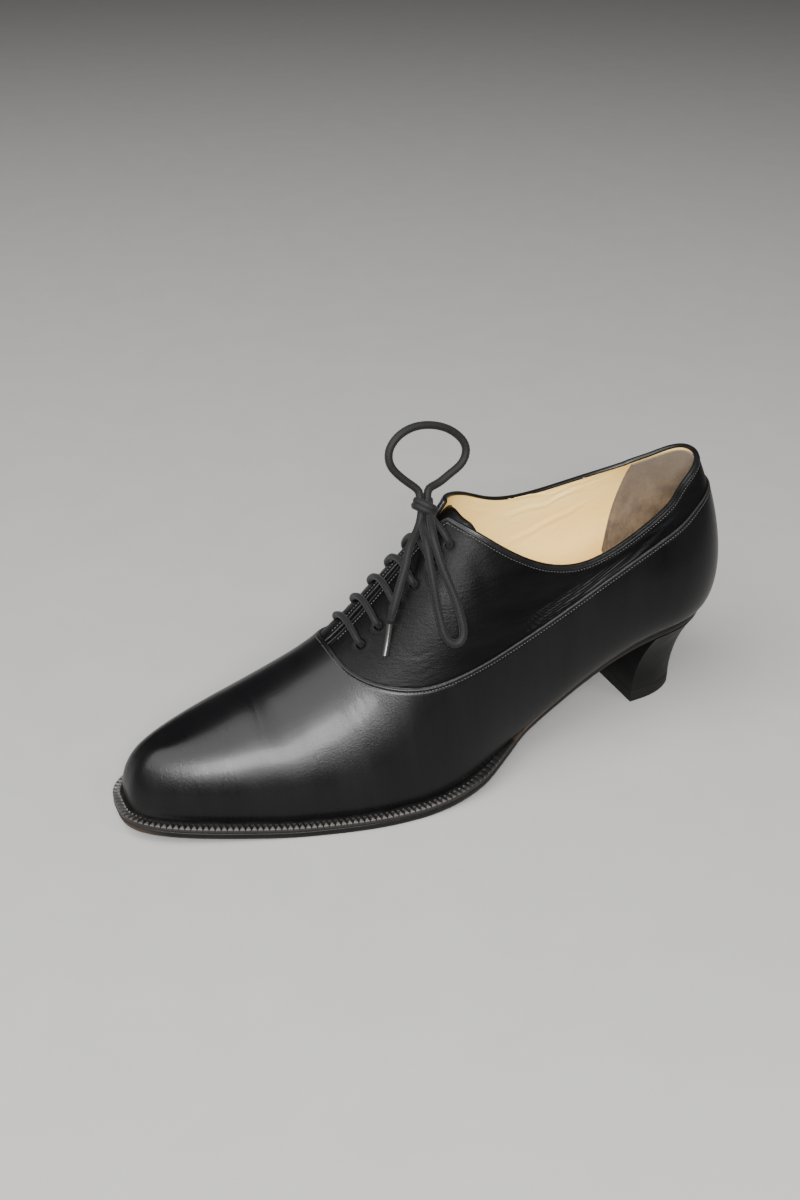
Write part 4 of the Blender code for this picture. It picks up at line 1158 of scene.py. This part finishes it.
    def binding(self) -> bpy.types.Object:
        """Make the folded binding that wraps the top edge, and goes on slim along the facings."""
        path, out, down = self.edge(self.last.topline_angle, 0.7, THROAT)
        lip, rim = -self.step, -self.wall
        form = np.array([
            (1.85, lip - 0.3), (1.85, lip + 0.1), (1.72, lip + 0.3), (1.5, lip + 0.36), (1.25, lip + 0.28),
            (1.0, lip + 0.16), (0.75, lip + 0.24), (0.45, lip + 0.36), (0.1, lip + 0.3), (-0.22, lip + 0.1),
            (-0.45, lip - 0.35), (-0.5, (lip + rim) / 2), (-0.42, rim + 0.35), (-0.2, rim),
            (0.15, rim - 0.14), (0.4, rim - 0.1), (0.45, rim + 0.1), (0.45, rim + 0.4)])
        flat = form.copy()
        flat[4:7, 1] = lip + 0.36
        slim = smooth_step(path[:, 0], 114, 126)[:, None]
        middle = np.array([0.35, (lip + rim) / 2])
        shape = form + (flat - form) * slim[..., None] - middle
        shape = middle + shape * np.stack([1 - 0.55 * slim, 1 - 0.22 * slim], -1)
        grid = path[:, None] + shape[..., :1] * down[:, None] + shape[..., 1:] * out[:, None]
        draft = Draft()
        index = draft.add(grid)
        draft.skin(index)
        draft.strip(index[:, -1], index[:, 0])
        for end in (0, -1):
            draft.close(index[end])
        piece = draft.piece("topline_binding", self.bench.finish(EDGE))
        return self.bench.enter(piece, "upper_leather", "upper")

    def lining(self) -> bpy.types.Object:
        """Make the lining of the whole inside, creased by use."""
        last = self.last
        columns = self.columns(130, 70)
        loop = columns.loop
        rim = loop.each(last.topline_angle)
        short = loop.each(lambda x, side: last.angle_off_ridge(
            np.clip(x, last.facing_top, THROAT), self.lining_short, side))
        top = np.where(loop.x < last.facing_top, rim, np.minimum(rim, short))
        top = np.where(loop.x >= AT_THROAT, math.pi / 2, top)
        angle, _ = last.rows(loop, np.zeros_like(top), top, 52, (1.2, 0.8, 0.45, 0.2, 0.0))
        points, normal = columns.surface(last, angle)
        height = last.folds(points, LINING_CREASES)
        draft = columns.shell(points - (self.step + self.hide) * normal,
                              points - (self.wall + height)[..., None] * normal)
        piece = draft.piece("lining", self.bench.finish(LINING))
        self.punch(piece, 1.6 * self.eyelet_radius)
        places = mesh_points(piece)
        # The walls take more of the darker colour towards the bottom inside the shoe.
        deep = 1 - smooth_step(places[:, 2] - last.feather(places[:, 0]), 4, 26)
        set_wear_and_highlight(piece, 0.2 * deep)
        return self.bench.enter(piece, "lining_leather", "upper")

    def heel_grip(self) -> bpy.types.Object:
        """Make the suede grip inside the back."""
        last = self.last
        slanted = np.linspace(self.grip_top, self.grip_foot, 13)[1:]
        loop = round_back(np.concatenate([last.stations(last.back, self.grip_top, 24), slanted]))
        low = loop.each(lambda x, side: last.angle_at_height(x, last.feather(x) + 5.0, side))
        slant = np.clip((loop.x - self.grip_top) / (self.grip_foot - self.grip_top), 0, 0.97)
        top = low + (loop.each(last.topline_angle) - low) * (1 - slant)
        angle, distance = last.rows(loop, low, top, 30, (2.6, 2.2, 1.9, 1.75))
        points, normal = last.surface(loop, angle, False)
        front = self.grip_foot - (self.grip_foot - self.grip_top) * (1 - distance / distance.max())
        thick = self.grip_thick * np.sqrt(np.clip(front - loop.x[:, None], 0.03, 1))
        draft = Draft()
        draft.leaf(points - (self.wall - self.grip_sunk) * normal,
                   points - (self.wall + thick)[..., None] * normal)
        piece = draft.piece("heel_grip", self.bench.finish(SUEDE))
        places = mesh_points(piece)
        set_wear_and_highlight(piece, 0.25 + 0.75 * smooth_step(places[:, 2], 74, 98))
        return self.bench.enter(piece, "lining_leather", "upper")

    def build(self) -> tuple[bpy.types.Object, bpy.types.Object]:
        """Make every piece of the upper and return the two that show stitches."""
        vamp, quarters = self.vamp(), self.quarters()
        self.binding()
        self.lining()
        self.heel_grip()
        return vamp, quarters


WELT_ROWS = (FAR, 3.9, 3.5, 3.1, 2.95, 2.8, 2.6, 2.3, 1.9, 1.5, 1.1, 0.7, 0.35, 0.1)     # in from the edge
# Edges in section: share of the sole's thickness, or height of the top piece, and how far it lies in
SOLE_EDGE = ((0.0, 0.25), (0.07, 0.06), (0.2, 0.0), (0.45, -0.04), (0.7, 0.12), (0.86, 0.26), (0.95, 0.45),
             (1.0, 0.9))
TIP_EDGE = ((0.0, 0.55), (0.2, 0.2), (0.6, 0.0), (5.2, 0.0), (5.5, 0.1), (5.6, 0.3))


@dataclass
class Bottom:
    """The bottom: welt, outsole, covered heel, top piece and insole sock."""

    last: Last
    bench: Bench
    gap: float = 0.3             # between one piece and the next
    waist: float = 3.0           # thickness of the sole at the waist
    welt_height: float = 1.7
    sole_height: float = 2.9     # thickness of the sole under the welt
    welt_from: float = 104.0
    thin_from: float = 88.0      # the sole goes from one thickness to the other between these
    full_from: float = 126.0
    welt_under: float = 2.0      # how far the welt reaches under the upper
    tooth: float = 2.2           # pitch of the wheeled teeth
    tooth_depth: float = 0.75
    tooth_wide: float = 1.9      # the notches are widest this far from the edge
    tooth_reach: float = 3.0
    breast: float = 36.0         # station of the heel's front
    past_breast: float = 37.0    # and one that gives the outline its direction there
    foot_back: float = 10.2      # the heel's foot lies between these
    foot_front: float = 36.6
    foot_share: float = 0.55     # width of the foot as a share of the seat's
    hollow: float = 1.9          # a larger power hollows the heel more
    heel_inset: float = 0.3
    top_piece_height: float = 5.6
    insole_rise: float = 1.6     # of the sock's face over the feather line
    insole_inset: float = 2.9

    def sole_top(self, x: Array) -> Array:
        """Return the height of the outsole's upper face."""
        return self.last.feather(x) - self.gap - (self.welt_height + self.gap) * smooth_step(
            x, self.thin_from, self.full_from)

    def sole_bottom(self, x: Array) -> Array:
        """Return the height of the outsole's tread."""
        feather = self.last.feather(x)
        waist = feather - self.gap - self.waist
        tread = feather - 2 * self.gap - self.welt_height - self.sole_height
        return waist + (tread - waist) * smooth_step(x, self.thin_from, self.full_from)

    def welt(self) -> bpy.types.Object:
        """Make the welt with its wheeled teeth, fading to shallow ribs towards the waist."""
        last = self.last
        loop = last.loop(last.stations(last.back, last.toe, 900))
        edge, under = last.outline(loop, last.ledge(loop.x)), last.outline(loop, -self.welt_under)
        keep = np.flatnonzero(loop.x >= self.welt_from)
        reach = path_length(edge[keep])
        places = np.linspace(0, reach[-1], round(reach[-1] / self.tooth) * 12 + 1)
        x = np.interp(places, reach, loop.x[keep])
        edge, under = (sampled(line[keep], reach, places) for line in (edge, under))
        width = last.ledge(x)
        top, bottom = last.feather(x) - self.gap, self.sole_top(x) + self.gap
        phase = np.abs((places / self.tooth) % 1 - 0.5)
        strength = self.tooth_depth * (0.25 + 0.75 * smooth_step(x, 122, 136)) * smooth_step(x, 106, 116)
        rows, polish_and_highlight = [], []
        for depth in WELT_ROWS:
            share = np.clip((width - depth) / width, 0, 1)
            share = (share * width + self.welt_under * (depth < FAR)) / (width + self.welt_under)
            close = np.clip((depth - self.tooth_wide) / (self.tooth_reach - self.tooth_wide), 0, 1)
            open_half = 0.5 * max(1e-3, min(1.0, 0.1 + depth / self.tooth_wide) * math.sqrt(1 - close**2))
            notch = strength * np.clip(1 - phase / open_half, 0, 1) * (depth < self.tooth_reach)
            fall = 0.12 * (depth < 0.2)
            rows.append(np.column_stack([under + (edge - under) * share[:, None], top - notch - fall]))
            # The tops of the teeth near the edge are painted paler: burnish and a painted highlight.
            polish_and_highlight.append((1 - notch / self.tooth_depth)**2 * (1 - smooth_step(depth, 1.2, 2.4)))
        rows.append(np.column_stack([edge, top - 0.3]))
        rows.append(np.column_stack([edge, bottom + 0.25]))
        rows.append(np.column_stack([edge + 0.1 * unit(under - edge), bottom]))
        rows.append(np.column_stack([under, bottom]))
        polish_and_highlight += [0.25 * polish_and_highlight[-1], 0 * phase, 0 * phase, 0 * phase]
        draft = Draft()
        grid = draft.add(np.stack(rows, 1))
        draft.skin(grid)
        draft.strip(grid[:, -1], grid[:, 0])
        for end in (0, -1):
            draft.close(grid[end])
        polish_and_highlight = np.stack(polish_and_highlight, 1) * (smooth_step(x, 118, 150) - 0.5 * smooth_step(x, 234, 248))[:, None]
        piece = draft.piece("wheeled_welt", self.bench.finish(WHEELED), sharp=30, wear=polish_and_highlight)
        return self.bench.enter(piece, "sole_leather", "welt")

    def outsole(self) -> bpy.types.Object:
        """Make the outsole with a burnished edge, scuffed brown at the toe, a painted highlight along the top
        of its edge at the waist, and a walked-on underside.
        """
        last = self.last
        loop = last.loop(last.stations(last.back, last.toe, 260))
        x, ledge = loop.x, last.ledge(loop.x)
        top, bottom = self.sole_top(x), self.sole_bottom(x)
        rows = [np.column_stack([last.outline(loop, ledge - inset), top + (bottom - top) * share])
                for share, inset in SOLE_EDGE]
        draft = Draft()
        grid = draft.add(np.stack(rows, 1))
        draft.skin(grid, True)
        draft.cap(grid[:, 0])
        draft.cap(grid[:, -1])
        piece = draft.piece("leather_sole", self.bench.finish(SOLE))
        piece.data.materials.append(self.bench.finish(TREAD))
        for face in piece.data.polygons:
            face.material_index = int(face.normal.z < -0.8)
        x, _, z = mesh_points(piece).T
        down = self.sole_top(x) - z
        toe = smooth_step(x, 238, 250) * (0.25 + 0.75 * smooth_step(down, 0.8, 2.2))
        rim = 0.8 * smooth_step(x, 150, 200) * smooth_step(down, 2.3, 2.8)
        # A thin line along the top of the edge at the waist is painted paler as a highlight.
        waist = smooth_step(x, 44, 60) * (1 - smooth_step(x, 112, 124))
        line = 0.7 * waist * (1 - smooth_step(down, 0.05, 0.45))
        set_wear_and_highlight(piece, np.maximum.reduce([toe, rim, line]))
        return self.bench.enter(piece, "sole_leather", "outsole")

    def heel_lines(self) -> tuple[Array, Array]:
        """Return the heel's outlines in plan at the seat and at the foot."""
        last = self.last
        xs = np.append(last.stations(last.back, self.breast, 60), self.past_breast)
        loop = last.outline(last.loop(xs), -self.heel_inset)
        half = len(xs) - 1
        seat = np.concatenate([loop[half - 1::-1], loop[:half:-1]])
        low, high = seat[:, 0].min(), seat[:, 0].max()
        middle = last.section["ridge_y"](0.0)
        x = self.foot_back + (self.foot_front - self.foot_back) * (seat[:, 0] - low) / (high - low)
        return seat, np.column_stack([x, middle + self.foot_share * (seat[:, 1] - middle)])

    def heel_part(self, name: str, kind: Leather | Plain, levels: Sequence[Array]) -> bpy.types.Object:
        """Make a part of the heel from the outlines of its levels, closed from side to side at both ends."""
        draft = Draft()
        grid = draft.add(np.stack(levels, 1))
        draft.skin(grid, True)
        half = len(grid) // 2 + 1
        for end in (0, -1):
            draft.strip(grid[:half, end], grid[::-1][:half, end])
        return draft.piece(name, self.bench.finish(kind), sharp=40)

    def heel(self) -> bpy.types.Object:
        """Make the covered heel, hollow at its back and sides."""
        seat, foot = self.heel_lines()
        seat_z = self.sole_bottom(seat[:, 0]) - self.gap
        drop = self.top_piece_height + self.gap - seat_z
        piece = self.heel_part("covered_heel", COVER, [
            np.column_stack([seat + (foot - seat) * (1 - (1 - level)**self.hollow), seat_z + drop * level])
            for level in np.linspace(0, 1, 49)])
        set_wear_and_highlight(piece, 0.25 * (1 - smooth_step(mesh_points(piece)[:, 2], 5, 14)))
        return self.bench.enter(piece, "heel_leather", "heel_block")

    def top_piece(self) -> bpy.types.Object:
        """Make the rubber top piece with a lower edge rounded off by walking."""
        _, foot = self.heel_lines()
        inward = -unit(foot - foot.mean(axis=0))
        piece = self.heel_part("rubber_tip", RUBBER, [
            np.column_stack([foot + inset * inward, np.full(len(foot), z)]) for z, inset in TIP_EDGE])
        return self.bench.enter(piece, "heel_rubber", "top_piece")

    def insole(self) -> bpy.types.Object:
        """Make the sock that covers the inside bottom."""
        last = self.last
        loop = last.loop(last.stations(last.back + 1.0, last.toe - 1.0, 120))
        plan = last.outline(loop, -self.insole_inset)
        top, bottom = last.feather(loop.x) + self.insole_rise, self.sole_top(loop.x) + self.gap
        draft = Draft()
        grid = draft.add(np.stack([np.column_stack([plan, bottom]), np.column_stack([plan, top])], 1))
        draft.skin(grid, True)
        draft.cap(grid[:, 0])
        draft.cap(grid[:, 1], dish=0.9, across=20)
        piece = draft.piece("sock_lining", self.bench.finish(LINING))
        points = mesh_points(piece)
        set_wear_and_highlight(piece, 0.3 + 0.4 * (1 - smooth_step(points[:, 0], 30, 70)))
        return self.bench.enter(piece, "lining_leather", "insole")

    def build(self) -> None:
        """Make every piece of the bottom."""
        self.welt()
        self.outsole()
        self.heel()
        self.top_piece()
        self.insole()


@dataclass
class Tongue:
    """The leaf behind the facings, with round top corners."""

    last: Last
    bench: Bench
    top: float = 116.4           # station of its top edge at the middle
    foot: float = 173.0
    half_top: float = 20.0       # half its width at each end
    half_foot: float = 14.0
    ears: float = 24.0           # how far its top edge climbs towards the sides
    corner: float = 19.0         # how far the top corners drop
    ear_turn: float = 3.0        # a larger power keeps each of these nearer to the side
    corner_turn: float = 6.5
    top_turn: float = 6.0        # and both nearer to the top
    clear: float = 3.7           # depth of its face under the last's surface
    thick: float = 1.5

    def build(self) -> bpy.types.Object:
        """Make the tongue."""
        last = self.last
        share, length = np.meshgrid(np.linspace(-1, 1, 61), np.linspace(0, 1, 81), indexing="ij")
        drop = self.corner * np.abs(share)**self.corner_turn - self.ears * np.abs(share)**self.ear_turn
        x = self.foot + (self.top - self.foot) * length + drop * length**self.top_turn
        half = self.half_foot + (self.half_top - self.half_foot) * length
        distance = np.maximum(np.abs(share) * half, 0.05)
        edge = np.minimum(1 - np.abs(share), 4 * (1 - length)) * half
        sides = []
        for depth, turn in ((self.clear, 1), (self.clear + self.thick, -1)):
            lift = -depth - turn * rolled(np.clip(edge, 0, 1), 0.6)
            leaf, inner = (last.beside_ridge(x, distance, side, lift) for side in (1, -1))
            middle = last.section["ridge_y"](leaf[..., 0])
            leaf[..., 1] = middle + np.where(share < 0, -1, 1) * (leaf[..., 1] - middle)
            leaf[..., 2] = np.minimum(leaf[..., 2], inner[..., 2])
            sides.append(leaf)
        draft = Draft()
        draft.leaf(*sides)
        piece = draft.piece("tongue_leaf", self.bench.finish(GRAIN))
        return self.bench.enter(piece, "tongue_leather", "tongue")


END_OUTER = table(
    OnWall,
    (131.9, 90.7, 5.0), (135.2, 86.1, 4.7), (138.5, 81.3, 4.6), (141.8, 76.3, 4.4), (144.4, 72.5, 3.5),
    (146.2, 69.8, 2.3),
)
END_INNER = table(
    OnWall,
    (118.8, 101.6, 3.0), (117.4, 95.5, 1.6), (117.2, 89.0, 1.2), (118.0, 82.0, 1.1), (119.4, 75.0, 1.1),
    (121.0, 68.4, 1.1), (121.8, 65.0, 1.1),
)
AGLET_OUTER = table(OnWall, (147.0, 68.8, 1.9), (149.5, 64.1, 1.0), (151.9, 59.3, 0.8))
AGLET_INNER = table(OnWall, (122.0, 64.2, 0.9), (123.4, 58.6, 0.8), (124.6, 53.8, 0.8))
LOOP_DOWN = table(
    OnWall,
    (127.2, 94.3, 5.2), (129.1, 88.6, 4.5), (130.5, 82.6, 3.0), (131.4, 75.6, 1.4), (131.4, 70.0, 1.1),
    (130.9, 66.3, 1.1), (129.6, 64.3, 1.1), (127.8, 63.6, 1.1), (126.0, 64.3, 1.1), (124.7, 66.3, 1.1),
    (124.3, 71.6, 1.1), (124.9, 78.2, 1.2), (126.0, 84.9, 1.9), (126.2, 90.4, 3.2), (125.2, 95.3, 4.6),
)
LOOP_UP = ((126.2, -5.2, 106.6), (126.0, -6.6, 109.2), (127.9, -7.8, 111.6), (130.6, -8.8, 114.0),
           (133.4, -9.9, 116.9), (135.7, -10.9, 120.8), (135.6, -12.0, 124.9), (132.7, -13.0, 128.9),
           (127.1, -13.7, 131.7), (120.2, -13.8, 132.1), (113.4, -13.3, 130.3), (107.2, -12.3, 126.1),
           (104.4, -11.0, 120.8), (106.1, -9.9, 116.3), (111.9, -9.1, 112.6), (117.8, -8.3, 110.0),
           (121.8, -7.0, 109.0), (123.2, -5.2, 106.2))
# A lace's way out of an eyelet: distance from the ridge and lift off the last
BAR_RISE = ((11.3, -2.6), (11.25, -1.4), (10.9, -0.35), (9.9, 0.35), (8.0, 0.55), (5.0, 0.6), (2.0, 0.6))
STRAND_RISE = ((11.3, -2.6), (11.25, -1.4), (10.9, -0.3), (9.7, 0.6))


@dataclass
class Lacing:
    """The braided lace: bars over the facings, knot, bow, ends and tags."""

    last: Last
    bench: Bench
    upper: Upper
    lace: float = 3.0            # its thickness
    bar: float = 2.45            # and where it is pulled tight over the facings
    tag: float = 2.4
    sides: int = 20              # points round it
    ring_step: float = 0.4
    braid: float = 0.08          # depth of the braid as a share of the radius
    braid_pitch: float = 2.4
    strands: int = 6
    knot: tuple[float, float, float] = (124.8, -4.0, 103.8)
    knot_half: tuple[float, float] = (3.6, 2.6)                   # the wrap's radii across and outward
    across: tuple[float, float, float] = (-0.904, 0.428, 0.0)     # the knot's wrap lies in this direction
    outward: tuple[float, float, float] = (0.363, 0.767, 0.529)   # and in this one
    tilt: float = 0.35           # of the wrap, radians
    wrap_turn: tuple[float, float] = (-0.5, 1.55 * math.tau)      # where the wrap starts and ends, radians
    wrap_climb: float = 0.3      # per radian
    wrap_low: float = 1.5        # how far below the knot's middle it starts

    def tube(self, draft: Draft, path: Array, diameter: float, braid: float, end: float = 1.0) -> None:
        """Add a braided or smooth tube along a path of even places.

        Args:
            draft: collects the tube.
            path: its middle line.
            diameter: its thickness.
            braid: depth of the braid as a share of the radius.
            end: thickness of the far end as a share of the diameter.
        """
        along = unit(np.gradient(path, axis=0))
        frames = [unit(np.cross(along[0], (0.3, 0.5, 0.8)))]
        for tangent in along[1:]:
            frames.append(unit(frames[-1] - tangent * frames[-1].dot(tangent)))
        first = np.array(frames)
        second = np.cross(along, first)
        turn = np.linspace(0, math.tau, self.sides, endpoint=False)
        place = path_length(path)[:, None]
        wave = math.tau / self.braid_pitch * place
        weave = np.sin(self.strands / 2 * turn + wave) * np.sin(self.strands / 2 * turn - wave)
        thin = 1 - (1 - end) * (1 - smooth_step(place[-1] - place, 0, 4))
        radius = diameter / 2 * thin * (1 + braid * weave)
        spoke = np.cos(turn)[:, None] * first[:, None] + np.sin(turn)[:, None] * second[:, None]
        ring = radius[..., None] * spoke
        grid = draft.add(path[:, None] + ring)
        draft.skin(np.concatenate([grid, grid[:, :1]], 1))
        draft.close(grid[0])
        draft.close(grid[-1])

    def on_wall(self, rows: Sequence[OnWall], side: Side) -> Array:
        """Return the places of a lace that lies beside the quarter."""
        x, z, lift = np.array(rows).T
        return self.last.off(x, self.last.angle_at_height(x, z, side.value), side.value, lift)

    def out_of_eyelet(self, number: int, side: Side, rise: Sequence[tuple[float, float]]) -> list[Array]:
        """Return a lace's places out of an eyelet, by distance from the ridge and lift off the last."""
        x = self.upper.eyelet_x(number)
        return [self.last.beside_ridge(x, distance, side.value, lift) for distance, lift in rise]

    def braided(self, node: str, path: Array, diameter: float, end: float = 1.0) -> bpy.types.Object:
        """Make a length of braid along a path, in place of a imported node.

        Args:
            node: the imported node.
            path: its middle line.
            diameter: its thickness.
            end: thickness of the far end as a share of the diameter.

        Returns:
            The piece.
        """
        draft = Draft()
        self.tube(draft, path, diameter, self.braid, end)
        piece = draft.piece(node.replace("lace", "braid"), self.bench.finish(COTTON))
        return self.bench.enter(piece, "lace_cotton", node)

    def bars(self) -> None:
        """Make the straight bars, each out of one eyelet and into the opposite one."""
        for number in range(self.upper.eyelets - 1):
            outer, inner = (self.out_of_eyelet(number, side, BAR_RISE) for side in Side)
            route = smooth_route(np.array(outer + inner[::-1]), self.ring_step)
            self.braided(f"lace_bar_{number + 1}", route, self.bar)

    def knot_wrap(self) -> None:
        """Make the turns of lace round the middle of the bow, and the strands that come up to it."""
        knot, across, outward = np.array(self.knot), np.array(self.across), np.array(self.outward)
        upward = np.cross(outward, across)
        across = math.cos(self.tilt) * across - math.sin(self.tilt) * upward
        upward = np.cross(outward, across)
        turn = np.linspace(*self.wrap_turn, 130)[:, None]
        wide, deep = self.knot_half
        route = knot + wide * np.cos(turn) * across + deep * np.sin(turn) * outward
        route += upward * (self.wrap_climb * turn - self.wrap_low)
        self.braided("lace_knot", even_route(route, self.ring_step), self.lace)
        for side in (Side.INNER, Side.OUTER):
            route = self.out_of_eyelet(self.upper.eyelets - 1, side, STRAND_RISE)
            route += [(route[-1] + knot) / 2 + (0, 0, 0.2), knot + (-1.0, 2.0 * side.value, -1.4)]
            route = smooth_route(np.array(route), self.ring_step)
            self.braided(f"lace_strand_{side.name.lower()}", route, self.bar)

    def cord(self, name: str, route: Sequence,
             with_pieces: Sequence[bpy.types.Object] = ()) -> None:
        """Args:
            name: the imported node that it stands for.
            route: places that it passes, from the knot.
            with_pieces: the pieces on it.
        """
        path = smooth_route(np.array(route, float), self.ring_step)
        piece = self.braided(name, path, self.lace, self.tag / self.lace if with_pieces else 1.0)

    def tags(self) -> dict[Side, bpy.types.Object]:
        """Make the tags on the two ends."""
        made = {}
        for name, rows, side in (("aglet_outer", AGLET_OUTER, Side.OUTER),
                                 ("aglet_inner", AGLET_INNER, Side.INNER)):
            draft = Draft()
            self.tube(draft, smooth_route(self.on_wall(rows, side), self.ring_step), self.tag, 0.0)
            piece = draft.piece(name.replace("aglet", "tag"), self.bench.finish(TAG))
            made[side] = self.bench.enter(piece, "lace_tag", name)
        return made

    def build(self) -> None:
        """Make the whole lace."""
        knot = np.array(self.knot)
        self.bars()
        self.knot_wrap()
        tags = self.tags()
        self.cord("lace_loop_up", [knot + (0.9, -0.3, -1.0), *LOOP_UP, knot + (-0.6, -0.6, -1.0)])
        self.cord("lace_loop_down", [knot + (0.6, 0.6, 1.0), knot + (1.6, 1.6, -3.6),
                                     *self.on_wall(LOOP_DOWN, Side.OUTER),
                                     knot + (-1.0, 2.2, -1.4)])
        self.cord("lace_end_outer", [knot + (1.4, 0.4, 0.8), knot + (3.6, 3.0, -4.4),
                                     *self.on_wall(END_OUTER, Side.OUTER)], [tags[Side.OUTER]])
        self.cord("lace_end_inner", [knot + (-0.4, -0.8, 0.2), knot + (-2.6, -3.6, -1.0),
                                     *self.on_wall(END_INNER, Side.INNER)], [tags[Side.INNER]])


@dataclass
class Seams:
    """Rows of machine stitches that lie in the leather's grooves."""

    bench: Bench
    pitch: float = 1.3
    thread: float = 0.36         # its thickness
    stitch: float = 1.0          # length of one stitch

    def row(self, draft: Draft, piece: bpy.types.Object, path: Array) -> None:
        """Lay a row of stitches on a piece.

        Args:
            draft: collects the stitches.
            piece: what they are sewn through.
            path: the row's line, near the piece's face.
        """
        tree = BVHTree.FromObject(piece, bpy.context.evaluated_depsgraph_get())
        places = even_route(path, self.pitch)
        middle = (places[1:] + places[:-1]) / 2
        along = unit(np.diff(places, axis=0))
        found = [tree.find_nearest(Vector((place - ORIGIN) * MM))[:2] for place in middle]
        spot = np.array([place[:] for place, _ in found]) / MM + ORIGIN
        out = np.array([normal[:] for _, normal in found])
        across = unit(np.cross(out, along))
        out = unit(np.cross(along, across))
        turn = np.linspace(0, math.tau, 8, endpoint=False)
        share = np.array([-0.5, -0.46, -0.3, 0.0, 0.3, 0.46, 0.5])
        girth = np.array([0.15, 0.6, 0.95, 1.0, 0.95, 0.6, 0.15]) * self.thread / 2
        sink = np.array([-0.14, -0.05, 0.03, 0.06, 0.03, -0.05, -0.14])
        spine = (spot[:, None] + self.stitch * share[:, None] * along[:, None] + sink[:, None] * out[:, None])
        ring = np.cos(turn)[:, None] * across[:, None, None] + np.sin(turn)[:, None] * out[:, None, None]
        grid = draft.add(spine[:, :, None] + girth[:, None, None] * ring)
        for stitch in grid:
            draft.skin(np.concatenate([stitch, stitch[:, :1]], 1))

    def build(self, upper: Upper, vamp: bpy.types.Object, quarters: bpy.types.Object) -> bpy.types.Object:
        """Sew the vamp's edge and the quarters' top edge."""
        draft = Draft()
        path, _, down = upper.edge(upper.last.vamp_edge_angle, 0.5, THROAT + 1)
        self.row(draft, vamp, path + upper.vamp_groove.at * down)
        path, out, down = upper.edge(upper.last.topline_angle, 0.5, THROAT - 2.5)
        self.row(draft, quarters, path + upper.top_groove.at * down - upper.step * out)
        piece = draft.piece("stitches", self.bench.finish(THREAD), merge=0.001)
        return self.bench.enter(piece, "upper_leather")


class Panel(NamedTuple):
    """A soft panel of light, seen from the shoe."""

    name: str
    azimuth: float               # degrees from the toe's direction towards the outer side
    elevation: float             # degrees above the floor
    distance: float              # metres
    width: float
    height: float
    power: float                 # watts


PANELS = table(
    Panel,
    ("key_panel", 67.0, 34.5, 1.3, 0.4, 0.36, 33.0),
    ("top_panel", 22.0, 58.0, 1.5, 1.6, 1.4, 50.0),
    ("side_panel", 116.0, 46.0, 1.4, 0.35, 0.3, 4.5),
)


@dataclass
class Studio:
    """The pale floor, the soft light and the photograph's camera."""

    bench: Bench
    focal: float = 39.99
    sensor: float = 36.0         # its longer side
    eye: tuple[float, float, float] = (320.4, 387.5, 335.9)
    azimuth: float = 154.65      # of the camera's way back from the shoe, degrees
    elevation: float = 31.92
    floor_half: float = 6.0      # metres
    aim: float = 0.05            # the panels face this height over the floor, metres
    room: str = "#e9eaec"
    room_light: float = 0.14

    def floor(self) -> None:
        """Make the floor."""
        half = self.floor_half
        mesh = bpy.data.meshes.new("studio_floor")
        corners = [(-half, -half, 0), (half, -half, 0), (half, half, 0), (-half, half, 0)]
        mesh.from_pydata(corners, [], [range(4)])
        mesh.materials.append(self.bench.finish(BOARD))
        made = bpy.data.objects.new("studio_floor", mesh)
        bpy.context.scene.collection.objects.link(made)

    def hang(self, panel: Panel) -> None:
        """Hang a panel of light."""
        light = bpy.data.lights.new(panel.name, "AREA")
        light.shape, light.energy = "RECTANGLE", panel.power
        light.size, light.size_y = panel.width, panel.height
        made = bpy.data.objects.new(panel.name, light)
        turn, rise = math.radians(panel.azimuth), math.radians(panel.elevation)
        way = Vector((math.cos(turn) * math.cos(rise), math.sin(turn) * math.cos(rise), math.sin(rise)))
        made.location = way * panel.distance + Vector((0, 0, self.aim))
        made.rotation_euler = way.to_track_quat("Z", "Y").to_euler()
        bpy.context.scene.collection.objects.link(made)

    def world(self) -> None:
        """Fill the room with an even light."""
        made = bpy.data.worlds.new("studio_room")
        made.use_nodes = True
        feed(made.node_tree, made.node_tree.nodes["Background"], {
            "Color": linear(self.room), "Strength": self.room_light})
        bpy.context.scene.world = made

    def camera(self) -> None:
        """Set the photograph's camera."""
        turn, rise = math.radians(self.azimuth), math.radians(self.elevation)
        back = Vector((math.sin(turn) * math.cos(rise), -math.cos(turn) * math.cos(rise), math.sin(rise)))
        right = Vector((0, 0, 1)).cross(back).normalized()
        up = back.cross(right)
        lens = bpy.data.cameras.new("photo_camera")
        lens.lens, lens.sensor_width, lens.sensor_fit = self.focal, self.sensor, "AUTO"
        lens.clip_start, lens.clip_end = 0.02, 50.0
        made = bpy.data.objects.new("photo_camera", lens)
        place = (np.array(self.eye) - ORIGIN) * MM
        made.matrix_world = Matrix.Translation(place) @ Matrix((right, up, back)).transposed().to_4x4()
        bpy.context.scene.collection.objects.link(made)
        bpy.context.scene.camera = made

    def build(self) -> None:
        """Set up the whole studio."""
        self.floor()
        for panel in PANELS:
            self.hang(panel)
        self.world()
        self.camera()


def main() -> None:
    """Dress the shoe and set up the studio."""
    logging.basicConfig(level=logging.INFO, format="%(name)s %(message)s")
    bench, last = Bench(), Last()
    upper = Upper(last, bench)
    vamp, quarters = upper.build()
    Bottom(last, bench).build()
    Tongue(last, bench).build()
    Lacing(last, bench, upper).build()
    Seams(bench).build(upper, vamp, quarters)
    Studio(bench).build()


if __name__ == "__main__":
    main()
